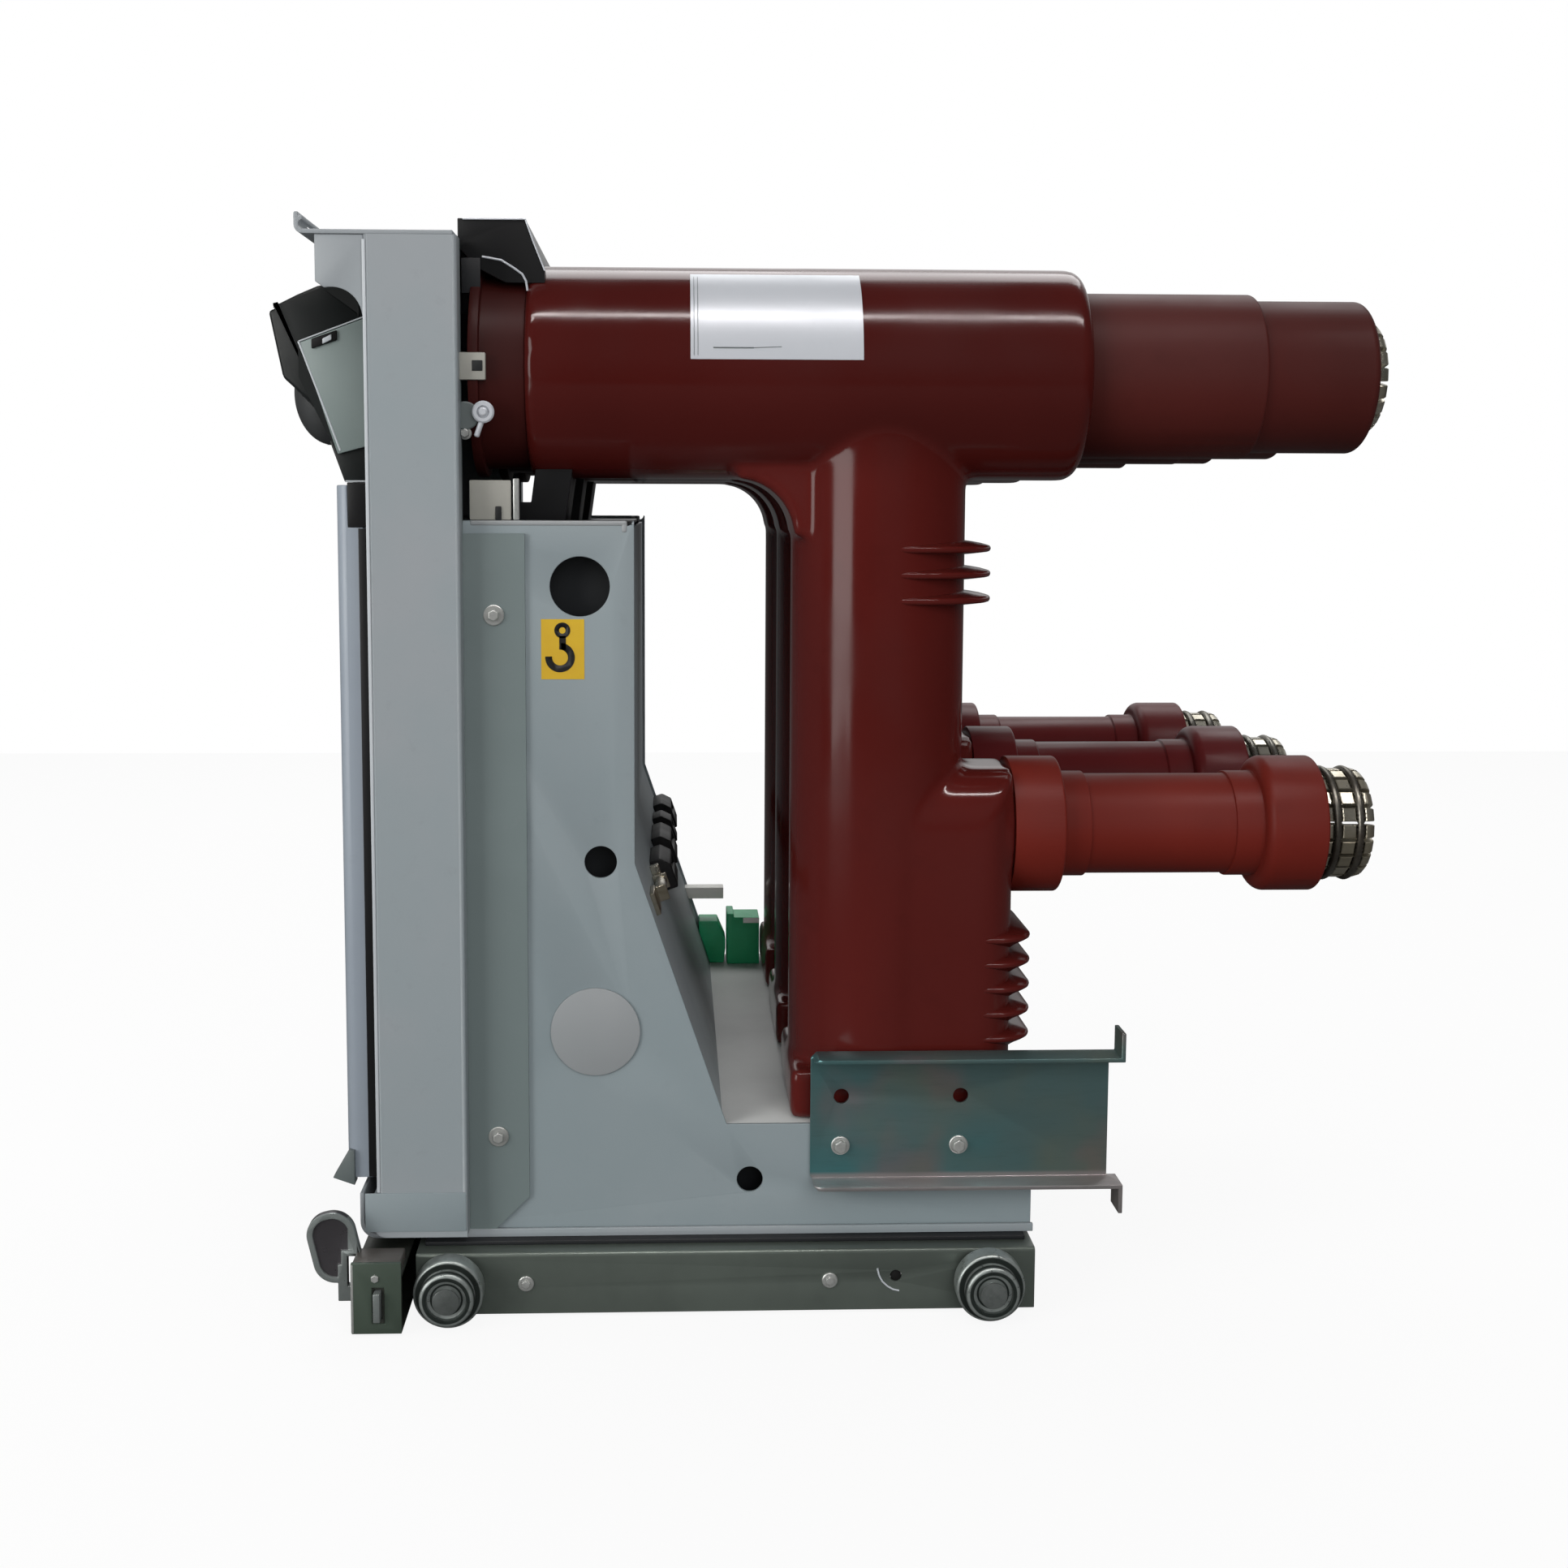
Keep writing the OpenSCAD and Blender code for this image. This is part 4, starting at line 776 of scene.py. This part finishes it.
def makeSpring(x):
    c = contact
    only()
    bpy.ops.mesh.primitive_torus_add(major_segments=c["coils"], minor_segments=8,
                                     major_radius=(c["outer"] - 0.6) / 1000, minor_radius=c["wire"] / 1000,
                                     rotation=(0, math.pi / 2, 0), location=(x / 1000, 0, 0))
    ring = settle(bpy.context.object, "ringSpring")
    turns = c["coils"] / math.tau
    pick(ring, lambda co: round(math.atan2(co.y, co.z) * turns) % 2 == 0)
    bpy.ops.transform.shrink_fatten(value=-0.0007)
    bpy.ops.object.mode_set(mode="OBJECT")
    bpy.ops.object.shade_smooth()
    return ring


def makeContacts():
    c = contact
    ring = [makeFinger()]
    for i in range(1, c["fingers"]):
        only(ring[0])
        bpy.ops.object.duplicate(linked=False)
        bpy.context.object.rotation_euler = (math.tau * i / c["fingers"], 0, 0)
        ring.append(settle(bpy.context.object))
    hub = turnedPiece("hub", (0, 0, 0), (1, 0, 0), hubSteps, 40)
    root = turnedPiece("root", (0, 0, 0), (1, 0, 0), rootSteps, 48)
    holders = joined("fingers", hub, root, *ring)
    springs = joined("springs", *[makeSpring(x) for x in c["springs"]])
    for level in ("upper", "lower"):
        height, tip = c[level]
        for phase, y in phaseY.items():
            place = spot(tip, y, height)
            node = f"{level}_contact_{phase}"
            fingers = twin(holders, node + "_fingers", place)
            dress(fingers, "truck", "silvered_copper", finishes["silver"][:1], node)
            fit(twin(springs, node + "_springs", place), "silvered_copper", "spring")
    bpy.data.objects.remove(holders)
    bpy.data.objects.remove(springs)
    print("contacts made")


# bolts, washers and screws
bolts = {  # places, distance from the middle, then radii of head and washer and the head's height
    "frame_bolts_": [[((69.5, 412.9), (69.5, 102.8)), 208.5, (3.4, 6.0, 3.2)],
                     [((273, 95.5), (344, 95.5)), 208.5, (3.8, 5.6, 3.2)]],
    "rail_screws_": [[((86.5, 20), (265.7, 20)), 227, (2.6, 4.6, 1.6)]],
}


def hexBolt(name, place, axis, radius, washer, tall):
    ring = turnedPiece(name + "Washer", place, axis, [(0, washer), (0.9, washer), (1.3, washer - 0.5)], 32)
    steps = [(1.2, radius * 1.02), (1.2 + tall * 0.85, radius * 1.02), (1.2 + tall, radius * 0.86)]
    head = turnedPiece(name, place, axis, steps, 6)
    soften(head, 0.25, 2, 20)
    return joined(name, ring, head)


def makeBolts():
    for side in (-1, 1):
        for name, groups in bolts.items():
            heads = [hexBolt("bolt", spot(x, side * away, z), (0, side, 0), *sizes)
                     for places, away, sizes in groups for x, z in places]
            fit(joined(name + sideName(side), *heads), "zinc_sheet", "bright")
    print("bolts made")


# bare label on the near fuse tube, with the lines of its frame
label = {"start": 183, "end": 282, "lower": 4, "upper": 61, "thick": 0.3, "radius": 63.05,
         "insets": (2, 4.2), "lineRadius": 63.5,
         "lines": [((13, 10), (36, 10), 0.4), ((36, 10), (52, 10.6), 0.2)]}


def onTube(x, turn):  # a point on the label, from its start and the turn above the level
    turn = math.radians(turn)
    away = label["lineRadius"]
    return (label["start"] + x, phaseY["right"] - away * math.cos(turn), upperAxis + away * math.sin(turn))


def makeLabel():
    wide = label["end"] - label["start"]
    only()
    bpy.ops.mesh.primitive_cylinder_add(vertices=180, radius=label["radius"] / 1000, depth=wide / 1000,
                                        end_fill_type="NOTHING", rotation=(0, math.pi / 2, 0))
    plate = settle(bpy.context.object, "tube_label")
    lower, upper = label["lower"], label["upper"]
    pick(plate, lambda co: not lower < math.degrees(math.atan2(co.z, -co.y)) < upper, "FACE")
    bpy.ops.mesh.delete(type="FACE")
    bpy.ops.object.mode_set(mode="OBJECT")
    plate.location = spot(label["start"] + wide / 2, phaseY["right"], upperAxis)
    settle(plate)
    thick = plate.modifiers.new("thick", "SOLIDIFY")
    thick.thickness, thick.offset = label["thick"] / 1000, 1
    bpy.ops.object.modifier_apply(modifier="thick")
    smoothShade(30)
    fit(plate, "zinc_sheet", "label")
    lines = [rod("line", [onTube(inset, lower + 2 + 4 * i) for i in range(14)], 0.16)
             for inset in label["insets"]]
    lines += [rod("line", [onTube(*start), onTube(*end)], radius)
              for start, end, radius in label["lines"]]
    fit(joined("tube_label_lines", *lines), "zinc_sheet", "greyDark")
    print("label made")


# yellow sticker with a plain hook, below the near lifting hole
sticker = {"face": 206, "left": 96.5, "bottom": 375.5, "wide": 25, "tall": 35, "thick": 0.22,
           "ink": 0.2, "inkAway": 0.25, "hook": (107.4, 388.2), "bend": (4.6, 8.6),
           "quarter": (-9, 0.6, 9.6, 9), "eye": (1.4, 15.8, 1.9, 4.6),  # from the hook's middle
           "shank": (-0.4, 4.6, 3.8, 8)}


def flatRing(name, face, x, z, inner, outer):
    disc = turnedPiece(name, spot(x, face, z), (0, -1, 0), [(0, outer), (sticker["ink"], outer)], 40)
    hole = turnedPiece("hole", spot(x, face + 1, z), (0, -1, 0), [(0, inner), (3, inner)], 40)
    return cutAway(disc, hole)


def makeSticker():
    s = sticker
    corner = (s["left"], -s["face"] - s["thick"], s["bottom"])
    fit(block("lift_sticker_right", corner, (s["wide"], s["thick"], s["tall"]), 0), "grey_sheet", "yellow")
    x, z = s["hook"]
    face = -s["face"] - s["inkAway"]
    bend = flatRing("bend", face, x, z, *s["bend"])
    left, up, wide, tall = s["quarter"]
    cutAway(bend, block("quarter", (x + left, face - 1, z + up), (wide, 2, tall), 0))
    right, up, inner, outer = s["eye"]
    eye = flatRing("eye", face, x + right, z + up, inner, outer)
    left, up, wide, tall = s["shank"]
    shank = block("shank", (x + left, face - s["ink"], z + up), (wide, s["ink"], tall), 0)
    fit(joined("lift_mark_right", bend, eye, shank), "grey_sheet", "ink")
    print("sticker made")


# small pieces between the near column and the fuse tube
nearBlocks = {  # corner, size, rounding, slot, finish
    "terminal_tag": [(50.5, -213.5, 547), (16, 5, 15.5), 0.7, "grey_sheet", "beige"],
    "terminal_lug": [(59, -214.2, 552), (6, 1, 6), 0.3, "black_plastic", "plastic"],
    "post_plate": [(55.5, -203, 467.6), (24, 3, 23), 0.8, "grey_sheet", "beige"],
    "post": [(80.5, -202, 467.6), (3.6, 5, 24), 0.8, "bright_steel", "bright"],
    "peg": [(70.5, -204.6, 467.6), (3.6, 2, 8), 0.6, "black_plastic", "plastic"],
    # painted shade: the hood's inner cheek takes the near-black inside coat
    "hood_inner_cheek": [(51, -190.9, 598), (11, 0.8, 20), 0.3, "black_sheet", "inside"],
}
terminal = {  # place, direction, steps, sides
    "wire_eye": [(65, -211.5, 529), (0, -1, 0),
                 [(0, 3.4), (0, 6.3), (1.6, 6.3), (2.4, 5.4), (2.4, 3.6), (0.8, 3.2)], 36],
    "stem": [(64, -211.5, 524), (-0.35, 0, -1), [(0, 1.6), (9, 1.6), (9.6, 1.0)], 16],
    "core": [(65, -212, 529), (0, -1, 0), [(0, 2.4), (2.6, 2.4), (3.2, 1.6)], 24],
    "terminal_disc": [(54.5, -209, 527), (0, -1, 0), [(0, 8), (1.4, 8), (2, 7.2)], 36],
}
terminalBolt = {"place": (54.5, -209, 517), "sizes": (2.6, 3.6, 3.5)}
# pale lines of painted highlight along the hood's cheek, top and back edges, and a pale mark on the
# insulator
hoodHighlightsAndMark = {"cheek": -190.6, "markFront": 229.6, "markSize": (12.4, 0.3, 4.2),
            "rim": [(63, 618.7), (74, 616.8), (81, 612.5), (86, 609), (88.2, 605), (89, 599.5)],
            "top": [(52, 640), (70, 640), (88, 640.1)], "back": [(88, 640), (93, 626), (99, 611)],
            "radii": {"rim": 0.7, "top": 0.5, "back": 0.45}}


def makeNearFittings():
    for name, (corner, size, width, slotName, finish) in nearBlocks.items():
        fit(block(name, corner, size, width), slotName, finish)
    made = [turnedPiece(name, spot(*place), *rest) for name, (place, *rest) in terminal.items()]
    fit(joined("wire_eye", *made[:3]), "bright_steel", "label")
    fit(made[3], "grey_sheet", "greyDark")
    bolt = hexBolt("terminal_bolt", spot(*terminalBolt["place"]), (0, -1, 0), *terminalBolt["sizes"])
    fit(bolt, "bright_steel", "bright")
    # painted highlight: pale lines where the hood's edges catch the light
    highlightLines = [rod("highlightLine", [(x, hoodHighlightsAndMark["cheek"], z) for x, z in hoodHighlightsAndMark[key]], radius)
             for key, radius in hoodHighlightsAndMark["radii"].items()]
    fit(joined("hood_highlight_lines", *highlightLines), "black_sheet", "label")
    corner = (hoodHighlightsAndMark["markFront"], low("deck_insulators")[1] * 1000 - 0.25, 141.5)
    fit(block("insulator_mark", corner, hoodHighlightsAndMark["markSize"], 0.1), "grey_sheet", "barPale")
    print("near fittings made")


# trim that both sides have
sideTrim = {  # corner, with y as the piece's middle, size, rounding
    # a black strip in the gap between the front cover and the column: painted shade
    "gapShade": [(-9.4, 196.5, 74.5), (9.3, 1.5, 388), 0.2],
    # black sheets inside the housing: painted shade behind the holes
    "shadeSheet": [(6, 185, 112), (138, 2, 346), 0],
    "shadeSheetLow": [(150, 185, 47), (90, 2, 56), 0],
    # lip and hook: a pale block along the side plate's top fold, painted highlight
    "lip": [(56, 203, 464.4), (90.5, 7.2, 3.1), 1.2],
    "hook": [(143.2, 203, 460.5), (3.3, 7.2, 6.5), 1.2],
    # a pale strip along the column's front bend: painted highlight
    "bead": [(-0.5, columnFace, 74.6), (1.9, 1.0, 549), 0.4],
    "foot": [(-7.6, columnFace + 0.2, 50.8), (59, 1.0, 23.4), 0.45],
    "tab": [(-30.5, 195, 70.3), (13, 10, 21.1), 0],
    # a black disc in the rail's slot: painted shade
    "slotShade": [(305, 225.2, 22), [(0, 3.3), (0.6, 3.3), (0.8, 3.0)]],
    # a pale arc of painted highlight along the lower edge of the rail's slot
    "slotHighlight": [(294, 26.8), (295, 22.6), (297, 18.8), (300, 15.9), (303.4, 13.9), (307, 13.1)],
    "slotHighlightAway": 227.3, "slotHighlightRadius": 0.55,
}


def sideBlock(row, side, name, segments=2):
    (x, y, z), (long, wide, tall), width = row
    return block(name, (x, side * y - wide / 2, z), (long, wide, tall), width, segments)


def makeSideTrim():
    for side in (-1, 1):
        end = sideName(side)
        # painted shade: a black strip in the gap between the front cover and the column
        fit(sideBlock(sideTrim["gapShade"], side, "cover_gap_shade_" + end), "black_plastic", "black")
        # painted shade: black sheets behind the holes, so they read as dark
        shadeSheets = [sideBlock(sideTrim[key], side, "shadeSheet") for key in ("shadeSheet", "shadeSheetLow")]
        fit(joined("hole_shade_sheet_" + end, *shadeSheets), "black_sheet", "inside")
        # painted highlight: a pale block along the side plate's rounded top fold
        foldHighlights = [sideBlock(sideTrim[key], side, "fold", 3) for key in ("lip", "hook")]
        fit(joined("plate_fold_highlight_" + end, *foldHighlights), "grey_sheet", "plug")
        # painted highlight: a pale strip along the column's front bend
        fit(sideBlock(sideTrim["bead"], side, "column_bead_" + end), "grey_sheet", "bead")
        fit(sideBlock(sideTrim["foot"], side, "column_foot_plate_" + end), "grey_sheet", "greyPlate")
        tab = sideBlock(sideTrim["tab"], side, "cover_tab_" + end)
        pull(tab, within(x=(-99, -25), z=(0, 80)), (0, 0, 4.7))
        pull(tab, within(x=(-99, -25), z=(85, 999)), (9.5, 0, 0))
        fit(soften(tab, 0.4), "grey_sheet", "greyDark")
        # painted highlight: a pale arc along the lower edge of the rail's slot
        points = [(x, side * sideTrim["slotHighlightAway"], z) for x, z in sideTrim["slotHighlight"]]
        fit(rod("rail_slot_highlight_" + end, points, sideTrim["slotHighlightRadius"]), "bright_steel", "bead")
        # painted shade: a black disc in the rail's slot
        (x, y, z), steps = sideTrim["slotShade"]
        slotShade = turnedPiece("rail_slot_shade_" + end, spot(x, side * y, z), (0, side, 0), steps, 28)
        fit(slotShade, "black_plastic", "ink")
    print("side trim made")


# control plug: crown, neck, latch, pale lines of painted highlight along the folded rims of its bracket, and
# painted shade on the bracket
plug = {"face": -166.2, "rim": [(-47.8, 571.9), (-32.5, 530.5), (-24.4, 508)],
        "top": [(-47.8, 571.9), (-28, 579.4), (-9.5, 586.4)],
        "foot": [(-22, 490), (-3, 490)], "footFace": -164.6, "crown": (-27.8, -122.2, 590.2),
        "crownSteps": [(0, 15.2), (1, 16.2), (40.4, 16.2), (41.4, 15.2)]}
plugBlocks = {  # corner, with y from the bracket's face, size, rounding, slot, finish, moved corners
    "plug_neck": [(-22.6, 2.2, 489.6), (20, 26, 24.4), 0.8, "black_plastic", "plugBody",
                  ((-99, -15), (500, 999), (-8.6, 0, 0))],
    "plug_bracket_shade": [(-48, -0.4, 506), (22, 0.5, 65), 0, "black_plastic", "plugBody",
                           ((-99, -40), (0, 520), (0, 0, 45)), ((-40, 99), (565, 999), (-21, 0, 1))],
    "plug_bracket_recess": [(-38.6, -0.2, 538), (13.2, 0.4, 31), 0, "grey_sheet", "greyDark",
                            ((-99, -30), (0, 550), (6, 0, -1.5)), ((-30, 99), (560, 999), (0, 0, 4))],
    "plug_latch": [(-40, -2.2, 567.6), (15, 2.4, 5.8), 0.7, "black_plastic", "clip",
                   ((-32, 99), (0, 999), (0, 0, 5.2))],
    "plug_latch_tongue": [(-33.4, -3.0, 570.2), (5.4, 1.2, 3.2), 0.5, "zinc_sheet", "bead",
                          ((-31, 99), (0, 999), (0, 0, 2.6))],
}


def makePlug():
    face = plug["face"]
    crown = turnedPiece("plug_crown", spot(*plug["crown"]), (0, -1, 0), plug["crownSteps"], 64)
    fit(crown, "black_plastic", "plugBody")
    rows = (("rim", face, 0.75), ("top", face, 0.5), ("foot", plug["footFace"], 0.6))
    # painted highlight: pale lines along the bracket's folded rims
    rimHighlights = [rod("rim", [(x, y, z) for x, z in plug[key]], radius) for key, y, radius in rows]
    fit(joined("plug_bracket_rim_highlights", *rimHighlights), "grey_sheet", "bead")
    for name, ((x, y, z), size, width, slotName, finish, *moves) in plugBlocks.items():
        piece = block(name, (x, face + y, z), size, 0)
        for across, up, move in moves:
            pull(piece, within(across, up), move)
        if width:
            soften(piece, width)
        fit(piece, slotName, finish)
    print("plug details made")


# raised end frames of the crossbeam, with the star screw above each locking tongue
beamEnd = {  # corner, with y as the piece's middle, size, rounding
    "border": [(-11.7, 250.1, 1.6), (28.7, 2.8, 42), 0],
    "slot": [(0.1, 250.1, 7.6), (7.2, 6, 21.6), 0],
    "panel": [(-7.7, 250.8, 5.6), (20.7, 3.0, 33), 0],
    "cap": [(-11.2, 239, 36.1), (27.6, 20.8, 7.4), 1.0],
    "edge": [(-11.9, 250, 2), (1.6, 3.4, 41), 0.5],
    "armUp": [(1.3, 249.9, 30.4), (1.4, 1.2, 8.4), 0.3],
    "armAcross": [(-2.2, 249.9, 33.9), (8.4, 1.2, 1.4), 0.3],
    "star": [(2.0, 249.4, 34.6), (2.4, 3.4, 2.0)],
}


def makeBeamEnds():
    for side in (-1, 1):
        end = sideName(side)
        border = sideBlock(beamEnd["border"], side, "beam_end_" + end)
        cutAway(border, sideBlock(beamEnd["slot"], side, "slot"))
        if side > 0:  # the left end is hollowed between its rims
            cutAway(border, sideBlock(beamEnd["panel"], side, "panel"))
        fit(soften(border, 0.4), "dark_steel", "beamGreen", "crossbeam")
        fit(sideBlock(beamEnd["cap"], side, "beam_cap_" + end, 3), "dark_steel", "beamTop", "crossbeam")
        (x, y, z), sizes = beamEnd["star"]
        star = hexBolt("star", spot(x, side * y, z), (0, side, 0), *sizes)
        parts = [sideBlock(beamEnd[key], side, key) for key in ("edge", "armUp", "armAcross")]
        fit(joined("beam_trim_" + end, *parts, star), "bright_steel", "bright", "crossbeam")
    print("beam ends made")


# scene
bpy.context.scene.view_settings.view_transform = "Standard"
makeCamera()
makeLamps()
makeWorld()
makeFloor()
finishSheetMetal()
makePoles()
makeContacts()
makeBolts()
makeLabel()
makeSticker()
makeNearFittings()
makeSideTrim()
makePlug()
makeBeamEnds()
